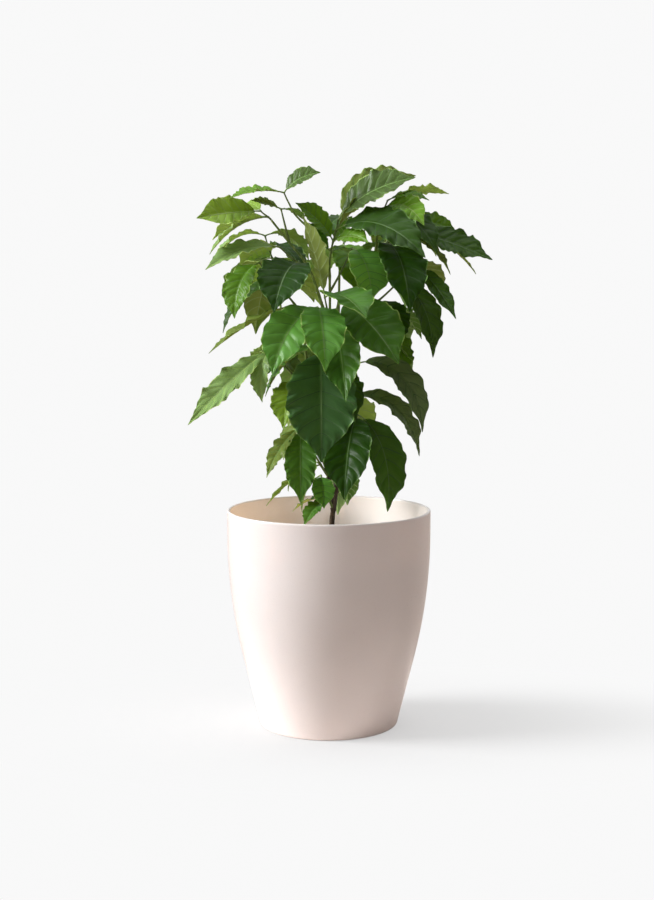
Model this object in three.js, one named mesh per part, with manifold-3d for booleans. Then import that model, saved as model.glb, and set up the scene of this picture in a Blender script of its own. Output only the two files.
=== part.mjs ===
// A young coffee plant in a tall round planter: a slim stem that forks low, boughs that fan out,
// and shoots of large drooping leaves in opposite pairs.
// Millimetres, +Z up. The origin is the centre of the planter's flat underside, and -Y faces the viewer.
import * as THREE from "three";
import { mergeVertices } from "three/addons/utils/BufferGeometryUtils.js";
import Module from "manifold-3d";

const wasm = await Module();
wasm.setup();

// Driving dimensions.
const planter = {
  height: 280,
  rimRadius: 130.5,
  flareAngle: 14, // of the lower wall from the vertical, in degrees
  shoulderRadius: 665, // the long curve that turns the lower wall upright
  lipHeight: 30, // the upright band under the rim
  wall: 3.6,
  floor: 5,
  footRound: 4,
  sides: 40,
};
const soilDepth = 55; // from the rim down to the soil
const seat = 0.3; // the gap between pieces that touch
const sliver = 0.05; // the narrowest facet that a fused solid keeps
const ground = planter.height - soilDepth;

// The crown's outline: height, then its reach to the left, to the right, and to the front and back.
const crownOutline = [
  [250, 32, 32, 40],
  [285, 50, 86, 90],
  [330, 64, 100, 125],
  [380, 76, 118, 150],
  [420, 88, 126, 160],
  [470, 106, 124, 168],
  [500, 116, 116, 170],
  [520, 138, 142, 172],
  [560, 140, 154, 172],
  [592, 152, 198, 172],
  [620, 154, 190, 165],
  [650, 174, 164, 150],
  [690, 126, 116, 120],
  [725, 44, 104, 90],
];
// Gaps that stay open from the front: from and to across, and from and to in height.
const gaps = [
  [38, 92, 438, 465],
  [36, 58, 478, 490],
  [62, 80, 380, 397],
  [-58, -20, 530, 548],
  [-76, -60, 444, 456],
  [-112, -94, 612, 626],
  [-92, -74, 636, 642],
  [108, 122, 604, 618],
  [113, 126, 518, 528],
  [20, 46, 627, 636],
];
const viewer = { distance: 2000, height: 578 };

// The trunk and its boughs: points along the middle line, and the radius at the foot and at the tip.
const limbs = {
  trunk: {
    path: [
      [3, 0, ground + seat], [4, 0, 264], [9, 1, 304], [10, 5, 350], [5, 8, 420], [2, 6, 500], [1, 2, 590],
    ],
    radius: [3.6, 1.5],
    flare: 3,
  },
  left_stem: {
    on: "trunk",
    path: [[4, 0, 264], [5, -4, 300], [-8, -9, 350], [-22, -8, 420], [-33, -3, 516]],
    radius: [2.5, 1.7],
  },
  right_bough: {
    on: "trunk",
    path: [[6, 7, 404], [22, 10, 450], [42, 10, 530], [58, 8, 600], [62, 6, 640]],
    radius: [2.5, 1.5],
  },
  left_bough: {
    on: "trunk",
    path: [[2, 6, 490], [-12, 0, 552], [-28, -5, 592], [-52, -9, 622], [-72, -10, 647]],
    radius: [2, 1.3],
  },
  sprig_bough: {
    on: "trunk",
    path: [[1, 2, 574], [-6, -2, 608], [-20, -5, 631], [-43, -6, 655], [-51, -6, 670]],
    radius: [1.5, 1.1],
  },
  back_bough: {
    on: "trunk",
    path: [[6, 8, 376], [8, 36, 420], [12, 66, 500], [14, 80, 580]],
    radius: [2.4, 1.5],
  },
  back_left_bough: {
    on: "left_stem",
    path: [[-18, -8, 390], [-40, 22, 430], [-58, 52, 500], [-66, 70, 568]],
    radius: [2.1, 1.4],
  },
};

// The shoots, each from the tip of a limb (at: 1) or from its side to a point of its own, with opposite
// pairs of leaves. leaf is the blade's length at the oldest and at the youngest pair. aimed gives the
// leaves that stand out, by number from the shoot's foot: where the tip reaches, how many degrees the
// leaf bends down along its length, its roll, and its width as a share of its length.
const shoots = {
  sprig_top: {
    on: "sprig_bough", at: 1, to: [-56, -6, 681],
    pairs: 1, leaf: [88, 80], seed: 11,
    aimed: {
      0: [-10, -18, 705, 52, 46, 0.62],
      1: [-123, -40, 672, 34, -14, 0.42],
    },
  },
  sprig_left: {
    on: "left_bough", at: 0.72, to: [-60, -4, 661],
    pairs: 1, leaf: [60, 60], seed: 12,
    aimed: {
      0: [-97, -22, 671, 20, -35, 0.5],
      1: [-30, 30, 647, 40, 0, 0.44],
    },
  },
  left_top: {
    on: "left_bough", at: 1, to: [-85, -12, 658],
    pairs: 2, leaf: [90, 90], seed: 13,
    aimed: {
      0: [-146, -58, 603, 50, 18, 0.42],
      1: [-148, 16, 622, 50, 16, 0.42],
      2: [-163, -44, 648, 12, -50, 0.6],
      3: [-105, 30, 670, 30, -40, 0.42],
    },
  },
  left_front: {
    on: "left_bough", at: 0.46, to: [-61, -20, 613],
    pairs: 2, leaf: [90, 90], seed: 14,
    aimed: {
      0: [-66, -98, 532, 70, -10, 0.6],
      1: [-71, 36, 560, 80, 0, 0.5],
      2: [-151, -62, 584, 45, -22, 0.4],
      3: [-114, 14, 587, 60, 25, 0.5],
    },
  },
  left_mid: {
    on: "left_stem", at: 1, to: [-87, -16, 594],
    pairs: 3, leaf: [92, 88], seed: 15,
    aimed: {
      0: [-148, -60, 482, 25, 6, 0.3],
      2: [-134, 4, 504, 75, -30, 0.4],
      4: [-116, -48, 524, 75, -10, 0.54],
    },
  },
  crown_centre: {
    on: "trunk", at: 1, to: [12, 4, 648],
    pairs: 4, leaf: [90, 100], seed: 16,
    aimed: {
      0: [-33, -14, 645, 10, -56, 0.5],
      1: [41, 30, 590, 80, 0, 0.5],
      2: [-42, -14, 668, 34, -56, 0.56],
      3: [49, -42, 618, 50, 40, 0.5],
      4: [81, 24, 687, 40, -30, 0.4],
      5: [117, -78, 597, 74, 38, 0.4],
      6: [108, -24, 698, 44, 48, 0.52],
      7: [112, 30, 703, 62, 42, 0.46],
    },
  },
  right_top: {
    on: "right_bough", at: 1, to: [74, 4, 672],
    pairs: 3, leaf: [88, 80], seed: 17,
    aimed: {
      1: [122, -70, 615, 85, 20, 0.4],
      2: [154, 36, 681, 50, -18, 0.4],
      3: [112, -48, 638, 85, 40, 0.5],
      4: [41, 34, 678, 60, 0, 0.4],
      5: [126, -10, 671, 50, 25, 0.44],
    },
  },
  right_side: {
    on: "right_bough", at: 0.82, to: [98, 0, 634],
    pairs: 3, leaf: [100, 104], seed: 18,
    aimed: {
      1: [98, -86, 532, 82, 0, 0.48],
      2: [189, 34, 578, 70, 20, 0.36],
      3: [152, -16, 578, 75, 10, 0.32],
      4: [165, 20, 630, 70, 45, 0.5],
      5: [203, -36, 597, 14, 40, 0.42],
    },
  },
  front_right: {
    on: "trunk", at: 0.94, to: [29, -24, 612],
    pairs: 1, leaf: [80, 92], seed: 19,
    aimed: {
      0: [-6, 60, 559, 60, 0, 0.5],
      1: [52, -56, 546, 76, 6, 0.78],
    },
  },
  front_high: {
    on: "trunk", at: 0.88, to: [-5, -40, 551],
    pairs: 1, leaf: [60, 60], seed: 37,
    aimed: {
      0: [54, -130, 527, 50, 4, 0.6],
      1: [-33, -20, 652, 16, 72, 0.36],
    },
  },
  right_front: {
    on: "trunk", at: 0.84, to: [12, -14, 546],
    pairs: 2, leaf: [90, 100], seed: 50,
    aimed: {
      0: [9, -108, 425, 60, 20, 0.4],
      2: [72, 44, 484, 75, 0, 0.5],
      3: [85, -86, 470, 36, 32, 0.6],
    },
  },
  right_outer: {
    on: "right_bough", at: 0.5, to: [108, 0, 592],
    pairs: 3, leaf: [94, 92], seed: 21,
    aimed: {
      1: [86, -44, 488, 85, 0, 0.54],
      2: [123, 30, 510, 90, 10, 0.4],
      3: [128, -50, 475, 92, 12, 0.33],
      4: [141, 60, 545, 85, 0, 0.45],
      5: [157, -52, 524, 26, 30, 0.27],
    },
  },
  front_top: {
    on: "trunk", at: 0.72, to: [-14, -40, 539],
    pairs: 2, leaf: [90, 92], seed: 22,
    aimed: {
      2: [-68, -98, 458, 62, -30, 0.54],
      3: [-4, -128, 463, 70, -4, 0.5],
    },
  },
  front_mid: {
    on: "trunk", at: 0.58, to: [-10, -42, 492],
    pairs: 2, leaf: [92, 150], seed: 23,
    aimed: {
      2: [-9, -106, 352, 38, 0, 0.62],
      3: [-70, -14, 421, 60, -20, 0.4],
    },
  },
  left_hang: {
    on: "left_stem", at: 0.78, to: [-73, -14, 487],
    pairs: 2, leaf: [90, 110], seed: 24,
    aimed: {
      0: [-56, -66, 388, 72, 0, 0.54],
      1: [-105, 26, 469, 85, 0, 0.56],
      2: [-174, -66, 394, 12, -34, 0.28],
      3: [-83, -30, 419, 80, 0, 0.4],
    },
  },
  low_left: {
    on: "left_stem", at: 0.36, to: [-36, -26, 388],
    pairs: 2, leaf: [80, 80], seed: 25,
    aimed: {
      0: [-57, -8, 331, 75, 0, 0.36],
      1: [-81, 14, 281, 30, 8, 0.2],
      2: [-35, -70, 297, 44, 0, 0.44],
      3: [-77, -62, 328, 40, -14, 0.33],
    },
  },
  low_front: {
    on: "left_stem", at: 0.12, to: [-10, -26, 327],
    pairs: 2, leaf: [46, 46], seed: 26,
    aimed: {
      0: [-31, -60, 267, 50, 0, 0.42],
      1: [-47, 6, 275, 60, 0, 0.3],
      2: [-34, -28, 280, 60, 0, 0.46],
      3: [-6, -54, 288, 50, 0, 0.66],
    },
  },
  low_right: {
    on: "trunk", at: 0.36, to: [36, -14, 403],
    pairs: 2, leaf: [100, 108], seed: 27,
    aimed: {
      0: [24, 30, 279, 85, 0, 0.5],
      1: [60, -4, 376, 70, 0, 0.56],
      2: [19, -86, 303, 64, 0, 0.52],
      3: [72, -52, 283, 82, 14, 0.4],
    },
  },
  right_arch: {
    on: "trunk", at: 0.5, to: [34, 0, 466],
    pairs: 3, leaf: [96, 110], seed: 28,
    aimed: {
      0: [40, 60, 330, 85, 0, 0.45],
      1: [96, -78, 359, 80, 24, 0.34],
      3: [114, -10, 347, 100, 30, 0.29],
      5: [116, -36, 380, 108, 36, 0.29],
    },
  },
  back_top: {
    on: "back_bough", at: 1, to: [26, 100, 652],
    pairs: 4, leaf: [112, 78], seed: 31, aimed: {},
  },
  back_mid: {
    on: "back_bough", at: 0.56, to: [6, 112, 486],
    pairs: 3, leaf: [100, 104], seed: 32,
    aimed: {
      4: [-50, 150, 430, 70, 0, 0.46],
    },
  },
  back_left_top: {
    on: "back_left_bough", at: 1, to: [-84, 92, 630],
    pairs: 4, leaf: [106, 76], seed: 33, aimed: {},
  },
  back_left: {
    on: "back_left_bough", at: 0.5, to: [-64, 92, 488],
    pairs: 3, leaf: [86, 90], seed: 34, aimed: {},
  },
  back_right: {
    on: "right_bough", at: 0.4, to: [66, 72, 540],
    pairs: 3, leaf: [98, 98], seed: 35,
    aimed: {
      2: [84, 138, 478, 80, 0, 0.5],
    },
  },
  back_right_top: {
    on: "right_bough", at: 0.72, to: [84, 74, 640],
    pairs: 3, leaf: [100, 80], seed: 38, aimed: {},
  },
  low_back: {
    on: "trunk", at: 0.32, to: [-12, 62, 402],
    pairs: 3, leaf: [90, 98], seed: 36,
    aimed: {
      3: [30, 64, 300, 80, 0, 0.5],
    },
  },
};

const leafShape = {
  stalk: 0.1, // the leaf stalk's length, as a share of the blade's
  stalkWidth: 2.2,
  width: 0.46, // as a share of the blade's length
  thickness: 1.4,
  waves: 4, // along each edge
  waveShare: 0.016, // the height of a wave, as a share of the blade's length
  foldAngle: 14, // between each half of the blade and the flat
  stations: 8, // along the blade
};
// A leaf that would touch a neighbour is turned and tilted by these steps, then tried smaller, and else
// left out.
const nudges = [
  [0, 0], [6, 0], [-6, 0], [0, 6], [0, -6], [13, 4], [-13, 4], [13, -8], [-13, -8], [26, 0], [-26, 0],
  [0, 18], [40, 6], [-40, 6], [60, 0], [-60, 0],
];
const sizes = [1, 0.84, 0.7];
const aimedNudges = 9; // the steps that an aimed leaf may take

const stemRadius = 1.7; // of a shoot at its foot, where it leaves a limb's side
const stemSag = 0.08; // of a shoot, as a share of its level reach

const radians = THREE.MathUtils.degToRad;
const degrees = THREE.MathUtils.radToDeg;
const mix = THREE.MathUtils.lerp;

// The same even spread of numbers from 0 to 1 for the same seed.
class Chance {
  constructor(seed) {
    this.state = seed * 7919;
    this.next();
  }
  next() {
    this.state = (this.state * 1664525 + 1013904223) % 4294967296;
    return this.state / 4294967296;
  }
  about(spread) {
    return (this.next() * 2 - 1) * spread;
  }
}

function direction(turn, rise) {
  const level = Math.cos(radians(rise));
  return new THREE.Vector3(
    level * Math.cos(radians(turn)),
    level * Math.sin(radians(turn)),
    Math.sin(radians(rise)),
  );
}

// Solids from three.js geometry, and back.
function solidOf(geometry) {
  const bare = new THREE.BufferGeometry().setIndex(geometry.index);
  bare.setAttribute("position", geometry.getAttribute("position"));
  const merged = mergeVertices(bare, 1e-4);
  return new wasm.Manifold(
    new wasm.Mesh({
      numProp: 3,
      vertProperties: Float32Array.from(merged.attributes.position.array),
      triVerts: Uint32Array.from(merged.index.array),
    }),
  );
}

function geometryOf(solid) {
  const { vertProperties, triVerts, numProp } = solid.getMesh();
  const points = [];
  for (let i = 0; i < vertProperties.length; i += numProp) {
    points.push(vertProperties[i], vertProperties[i + 1], vertProperties[i + 2]);
  }
  const geometry = new THREE.BufferGeometry();
  geometry.setAttribute("position", new THREE.Float32BufferAttribute(points, 3));
  geometry.setIndex(Array.from(triVerts));
  geometry.computeVertexNormals();
  return geometry;
}

// The largest closed body of a solid, without scraps, sealed hollows or slivers.
function mainBody(solid) {
  const bodies = solid.decompose();
  const largest = bodies.reduce((best, body) => (body.volume() > best.volume() ? body : best));
  return largest.simplify(sliver);
}

// A round bar along a curve: a cylinder whose rings are moved to the curve and sized by radiusAt.
function barAlong(curve, radiusAt, sides, rows) {
  const bar = new THREE.CylinderGeometry(1, 1, 1, sides, rows);
  const places = bar.getAttribute("position");
  const point = new THREE.Vector3();
  for (let i = 0; i < places.count; i++) {
    point.fromBufferAttribute(places, i);
    const along = point.y + 0.5;
    const tangent = curve.getTangent(along);
    const across = new THREE.Vector3(0, 1, 0).cross(tangent).normalize();
    const above = tangent.clone().cross(across);
    const at = curve.getPoint(along);
    at.addScaledVector(across, point.x * radiusAt(along));
    at.addScaledVector(above, -point.z * radiusAt(along));
    places.setXYZ(i, at.x, at.y, at.z);
  }
  return bar;
}

// The planter's outer wall radius at a height: a cone that a long curve turns upright.
function wallRadius(height) {
  const lean = radians(planter.flareAngle);
  const curveTop = planter.height - planter.lipHeight;
  const curveFoot = curveTop - planter.shoulderRadius * Math.sin(lean);
  const drop = Math.min(Math.max(curveTop - height, 0), curveTop - curveFoot);
  const curved = planter.shoulderRadius - Math.sqrt(planter.shoulderRadius ** 2 - drop ** 2);
  return planter.rimRadius - curved - Math.max(curveFoot - height, 0) * Math.tan(lean);
}

function turned(profile) {
  const points = profile.map(([radius, height]) => new THREE.Vector2(radius, height));
  return new THREE.LatheGeometry(points, planter.sides).rotateX(Math.PI / 2);
}

// Heights of the wall's profile points; one is the soil's, so that the soil follows the wall.
const wallHeights = [0, 90, 158, ground, planter.height - planter.lipHeight];

function planterGeometry() {
  const { height, wall, floor, footRound } = planter;
  const outer = wallHeights.map((z) => Math.max(z, footRound));
  const inner = wallHeights.map((z) => Math.max(z, floor)).reverse();
  return turned([
    [0, 0],
    [wallRadius(0) - footRound, 0],
    [wallRadius(0) - footRound * 0.3, footRound * 0.3],
    ...outer.map((z) => [wallRadius(z), z]),
    [wallRadius(height), height - wall * 0.4],
    [wallRadius(height) - wall * 0.4, height],
    [wallRadius(height) - wall * 0.8, height - wall * 0.2],
    [wallRadius(height) - wall, height - wall],
    ...inner.map((z) => [wallRadius(z) - wall, z]),
    [0, floor],
  ]);
}

function soilGeometry() {
  const clear = planter.wall + seat;
  const foot = planter.floor + seat;
  const heights = wallHeights.filter((z) => z > foot && z <= ground);
  return turned([
    [0, foot],
    [wallRadius(foot) - clear, foot],
    ...heights.map((z) => [wallRadius(z) - clear, z]),
    [0, ground],
  ]);
}

// A limb's middle line and its radius, with the trunk's root flare.
function limbLine(limb) {
  const points = limb.path.map((point) => new THREE.Vector3(...point));
  return new THREE.CatmullRomCurve3(points, false, "centripetal");
}

function limbSolid(limb, extra = 0) {
  const [foot, tip] = limb.radius;
  const flared = (along) => (limb.flare ?? 0) * Math.exp(-along * 22);
  const radiusAt = (along) => mix(foot, tip, along) + flared(along) + extra;
  return solidOf(barAlong(limbLine(limb), radiusAt, limb.flare ? 8 : 6, limb.path.length * 2));
}

// A shoot's stem: it goes on from just past its limb's tip, or starts inside its limb, and sags a little.
function stemLine(shoot) {
  const line = limbLine(limbs[shoot.on]);
  const start = line.getPoint(shoot.at);
  const end = new THREE.Vector3(...shoot.to);
  const sag = Math.hypot(end.x - start.x, end.y - start.y) * stemSag;
  const first = start.clone().lerp(end, 1 / 3);
  first.z -= sag;
  if (shoot.at === 1) {
    const onward = line.getTangent(1);
    start.addScaledVector(onward, seat);
    first.copy(start).addScaledVector(onward, start.distanceTo(end) / 3);
  }
  const second = start.clone().lerp(end, 2 / 3);
  second.z -= sag;
  return new THREE.CubicBezierCurve3(start, first, second, end);
}

function stemSolid(shoot) {
  const foot = shoot.at === 1 ? limbs[shoot.on].radius[1] : stemRadius;
  return solidOf(barAlong(stemLine(shoot), (along) => mix(foot, 1, along), 6, 3));
}

// How far a leaf has bent at a share of its length.
function bendAt(along) {
  return along * (1.5 - 0.5 * along);
}

// The leaf whose tip reaches a point: bending turns its chord away from its foot's angle, and shortens it.
function leafAimedAt([x, y, z, bend, roll, width], start) {
  const steps = 60;
  let level = 0;
  let drop = 0;
  for (let i = 0; i < steps; i++) {
    const angle = radians(bend) * bendAt((i + 0.5) / steps);
    level += Math.cos(angle) / steps;
    drop += Math.sin(angle) / steps;
  }
  const chord = new THREE.Vector3(x, y, z).sub(start);
  const rise = degrees(Math.atan2(chord.z, Math.hypot(chord.x, chord.y)));
  const lift = rise + degrees(Math.atan2(drop, level));
  return {
    turn: degrees(Math.atan2(chord.y, chord.x)),
    lift,
    fall: lift - bend,
    length: chord.length() / Math.hypot(level, drop) / (1 + leafShape.stalk),
    roll,
    width,
    swing: 0,
    aimed: true,
  };
}

// The leaves of a shoot by its rule: pairs cross each other on an upright shoot, and lie to both sides
// of a level one. Lower and older leaves hang more. Each leaf differs a little.
function leavesOf(shoot) {
  const line = stemLine(shoot);
  const heading = line.getPoint(1).sub(line.getPoint(0)).normalize();
  const shootTurn = degrees(Math.atan2(heading.y, heading.x));
  const chance = new Chance(shoot.seed);
  const firstTurn = chance.next() * 180;
  const leaves = [];
  for (let pair = 0; pair < shoot.pairs; pair++) {
    const age = shoot.pairs > 1 ? 1 - pair / (shoot.pairs - 1) : 0;
    const start = line.getPoint(mix(1, 0.3, age));
    const height = (start.z - ground) / 500;
    for (const side of [0, 1]) {
      const upright = firstTurn + 90 * pair + 180 * side;
      const level = shootTurn + (side ? -1 : 1) * mix(36, 74, age);
      const leaf = {
        start,
        turn: (heading.z > 0.8 ? upright : level) + chance.about(14),
        lift: mix(-20, 26, height) - 18 * age + chance.about(9),
        fall: mix(-82, -52, height) - 10 * age + chance.about(9),
        length: mix(shoot.leaf[1], shoot.leaf[0], age) * (1 + chance.about(0.12)),
        roll: chance.about(16),
        width: leafShape.width + chance.about(0.05),
        swing: chance.about(16),
        phase: chance.about(0.7),
        aimed: false,
      };
      const aim = shoot.aimed[leaves.length];
      leaves.push(aim ? { ...leaf, ...leafAimedAt(aim, start) } : leaf);
    }
  }
  return leaves;
}

// The blade's width along it, from 0 to 1: rounded, widest before the middle, with a drawn-out tip.
function outlineAt(along) {
  const body = Math.sin(Math.PI * along ** 0.9) ** 0.75;
  return body * (1 - 0.55 * THREE.MathUtils.smoothstep(along, 0.72, 0.95));
}

// The line of a leaf's stalk and midrib, bending down from lift to fall, with the directions across
// and above it at each step.
function ribOf(leaf) {
  const steps = 40;
  const total = leaf.length * (1 + leafShape.stalk);
  const rib = [];
  const point = leaf.start.clone();
  for (let i = 0; i <= steps; i++) {
    const along = i / steps;
    const pitch = mix(leaf.lift, leaf.fall, bendAt(along));
    const turn = leaf.turn + leaf.swing * along;
    const tangent = direction(turn, pitch);
    const above = direction(turn, pitch + 90).applyAxisAngle(tangent, radians(leaf.roll));
    rib.push({ point: point.clone(), above, across: above.clone().cross(tangent) });
    point.addScaledVector(tangent, total / steps);
  }
  return rib;
}

// Splits the two lower sides of a four-sided bar along the same diagonals as the upper ones, so that
// a wavy blade's faces never cross.
function turnLowerDiagonals(bar, rows) {
  const index = bar.getIndex();
  for (const side of [0, 3]) {
    for (let row = 0; row < rows; row++) {
      const at = (side * rows + row) * 6;
      const [a, b, , , c, d] = Array.from(index.array.slice(at, at + 6));
      [a, b, c, a, c, d].forEach((corner, i) => index.setX(at + i, corner));
    }
  }
}

// A leaf: a four-sided bar whose flat sections follow the midrib, from the stalk's root to the tip.
function leafSolid(leaf) {
  const { stalk, stalkWidth, thickness, waves, waveShare, foldAngle, stations } = leafShape;
  const rib = ribOf(leaf);
  const stalkEnd = stalk / (1 + stalk);
  const along = [0, stalkEnd * 0.9];
  for (let i = 1; i <= stations; i++) {
    along.push(mix(stalkEnd, 1, i / stations));
  }
  const bar = new THREE.CylinderGeometry(1, 1, 1, 4, along.length - 1);
  turnLowerDiagonals(bar, along.length - 1);
  const places = bar.getAttribute("position");
  const corner = new THREE.Vector3();
  for (let i = 0; i < places.count; i++) {
    corner.fromBufferAttribute(places, i);
    const row = Math.round((corner.y + 0.5) * (along.length - 1));
    const onBlade = Math.max(0, (along[row] - stalkEnd) / (1 - stalkEnd));
    const { point, above, across } = rib[Math.round(along[row] * (rib.length - 1))];
    const blade = (leaf.length * leaf.width * outlineAt(onBlade)) / 2;
    const half = Math.max(blade, (stalkWidth / 2) * (1 - onBlade));
    const wave =
      Math.cos(2 * Math.PI * waves * onBlade + leaf.phase + (corner.x > 0 ? 0 : Math.PI)) *
      Math.sin(Math.PI * onBlade) * waveShare * leaf.length;
    const fold = onBlade > 0 ? radians(foldAngle) : 0;
    const middle = mix(stalkWidth, thickness, Math.min(1, onBlade * 8)) / 2;
    const taper = row === along.length - 1 ? 0.25 : 1;
    const place = point.clone();
    place.addScaledVector(across, corner.x * Math.max(half, 0.3) * Math.cos(fold));
    place.addScaledVector(above, Math.abs(corner.x) * (half * Math.sin(fold) + wave));
    place.addScaledVector(above, -corner.z * middle * taper);
    places.setXYZ(i, place.x, place.y, place.z);
  }
  return solidOf(bar);
}

// How far the crown may reach at a height: to the left, to the right, and to the front and back.
function crownReach(height) {
  const row = crownOutline.findIndex(([z]) => z > height);
  if (row < 1) {
    return [0, 0, 0];
  }
  const [z0, ...lower] = crownOutline[row - 1];
  const [z1, ...upper] = crownOutline[row];
  return lower.map((reach, i) => mix(reach, upper[i], (height - z0) / (z1 - z0)));
}

// Whether a leaf stays in the crown and clear of its gaps, as the viewer sees them.
function insideCrown(leaf) {
  const widest = (leaf.length * leaf.width) / 2;
  return ribOf(leaf).every(({ point, across }, i) => {
    const half = i % 8 ? 0 : widest * outlineAt(i / 40) * 0.8;
    return [-half, half].every((side) => {
      const { x, y, z } = point.clone().addScaledVector(across, side);
      const nearness = viewer.distance / (viewer.distance + y);
      const seenX = x * nearness;
      const seenZ = viewer.height + (z - viewer.height) * nearness;
      const [left, right, depth] = crownReach(z);
      const inReach = seenX > -left && seenX < right && Math.abs(y) < depth;
      const inGap = gaps.some(([x0, x1, z0, z1]) => seenX > x0 && seenX < x1 && seenZ > z0 && seenZ < z1);
      return inReach && !inGap;
    });
  });
}

function meets(solid, others) {
  const a = solid.boundingBox();
  return others.some((other) => {
    const b = other.boundingBox();
    const apart = [0, 1, 2].some((k) => a.min[k] > b.max[k] + seat || b.min[k] > a.max[k] + seat);
    return !apart && solid.minGap(other, seat * 2) < seat;
  });
}

// The solids: the planter, its soil, the limbs, and a mass of leaves for each shoot.
const pieces = {
  planter: solidOf(planterGeometry()),
  soil: solidOf(soilGeometry()),
};
for (const [name, limb] of Object.entries(limbs)) {
  const solid = limbSolid(limb);
  pieces[name] = limb.on ? mainBody(solid.subtract(limbSolid(limbs[limb.on], seat))) : solid;
}
const stems = {};
const blades = {};
for (const [name, shoot] of Object.entries(shoots)) {
  const stem = stemSolid(shoot);
  stems[name] = shoot.at === 1 ? stem : mainBody(stem.subtract(limbSolid(limbs[shoot.on], seat)));
  blades[name] = [];
}

// Gives a leaf the first of its places that stays in the crown and touches no neighbour.
function placeLeaf(name, leaf) {
  const otherShoots = Object.keys(shoots).filter((key) => key !== name);
  const others = otherShoots.flatMap((key) => [stems[key], ...blades[key]]);
  const neighbours = [...Object.values(pieces), ...others];
  for (const size of leaf.aimed ? [1] : sizes) {
    for (const [turn, tilt] of leaf.aimed ? nudges.slice(0, aimedNudges) : nudges) {
      const tried = {
        ...leaf,
        turn: leaf.turn + turn,
        lift: leaf.lift + tilt,
        fall: leaf.fall + tilt,
        length: leaf.length * size,
      };
      if (!leaf.aimed && !insideCrown(tried)) {
        continue;
      }
      const blade = leafSolid(tried);
      const crowded = blades[name].some((other) => blade.intersect(other).volume() > 40);
      if (!crowded && !meets(blade, neighbours)) {
        blades[name].push(blade);
        return;
      }
    }
  }
}

// The aimed leaves take their places first, and the others grow into the room that is left.
for (const aimed of [true, false]) {
  for (const [name, shoot] of Object.entries(shoots)) {
    leavesOf(shoot).filter((leaf) => leaf.aimed === aimed).forEach((leaf) => placeLeaf(name, leaf));
  }
}
for (const name of Object.keys(shoots)) {
  pieces[`leaves_${name}`] = mainBody(wasm.Manifold.union([stems[name], ...blades[name]]));
}

const finishes = {
  planter: { color: 0xe6dad2, roughness: 0.25 },
  soil: { color: 0x3b2d22, roughness: 0.95 },
  bark: { color: 0x5a4a33, roughness: 0.8 },
  leaves: { color: 0x2f6b2c, roughness: 0.4 },
};

function finishOf(name) {
  if (name.startsWith("leaves_")) {
    return finishes.leaves;
  }
  return finishes[name] ?? finishes.bark;
}

const plant = new THREE.Group();
for (const [name, solid] of Object.entries(pieces)) {
  const material = new THREE.MeshStandardMaterial({ metalness: 0, ...finishOf(name) });
  const mesh = new THREE.Mesh(geometryOf(solid), material);
  mesh.name = name;
  plant.add(mesh);
}

export default plant;
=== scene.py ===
import math

import bmesh
import bpy
import numpy as np
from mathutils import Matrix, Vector, noise
from mathutils.bvhtree import BVHTree


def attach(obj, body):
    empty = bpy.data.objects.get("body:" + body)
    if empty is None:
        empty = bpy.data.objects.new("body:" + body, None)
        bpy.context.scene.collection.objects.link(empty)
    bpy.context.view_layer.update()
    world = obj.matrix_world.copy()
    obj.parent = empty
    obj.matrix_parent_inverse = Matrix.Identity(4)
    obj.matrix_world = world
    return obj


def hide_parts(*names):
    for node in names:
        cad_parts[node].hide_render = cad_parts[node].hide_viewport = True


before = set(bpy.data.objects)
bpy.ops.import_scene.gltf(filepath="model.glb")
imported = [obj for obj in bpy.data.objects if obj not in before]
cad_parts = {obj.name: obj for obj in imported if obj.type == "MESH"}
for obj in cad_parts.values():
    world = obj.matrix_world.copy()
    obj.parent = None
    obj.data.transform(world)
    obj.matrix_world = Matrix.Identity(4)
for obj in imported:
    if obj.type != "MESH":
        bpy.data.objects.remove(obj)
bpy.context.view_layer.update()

# Lengths in this file are millimetres, as in the part's source, unless a line says otherwise.
metre = 0.001


def mix(a, b, share):
    return a + (b - a) * share


def smooth(share, low, high):
    share = min(max((share - low) / (high - low), 0), 1)
    return share * share * (3 - 2 * share)


# A colour in six hexadecimal digits, as its linear shares.
def hexColour(code):
    parts = [int(code[i : i + 2], 16) / 255 for i in (0, 2, 4)]
    linear = [p / 12.92 if p <= 0.04045 else ((p + 0.055) / 1.055) ** 2.4 for p in parts]
    return (*linear, 1)


# A shader tree is written as sums over its sockets.
class Flow:
    # One socket of a tree; an operator on it adds its own Math node.
    def __init__(self, finish, socket):
        self.finish = finish
        self.socket = socket

    def maths(self, operation, first, second):
        return self.finish.add("ShaderNodeMath", {"operation": operation}, {0: first, 1: second})

    def __add__(self, other):
        return self.maths("ADD", self, other)

    def __radd__(self, other):
        return self.maths("ADD", other, self)

    def __sub__(self, other):
        return self.maths("SUBTRACT", self, other)

    def __rsub__(self, other):
        return self.maths("SUBTRACT", other, self)

    def __mul__(self, other):
        return self.maths("MULTIPLY", self, other)

    def __rmul__(self, other):
        return self.maths("MULTIPLY", other, self)


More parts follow.
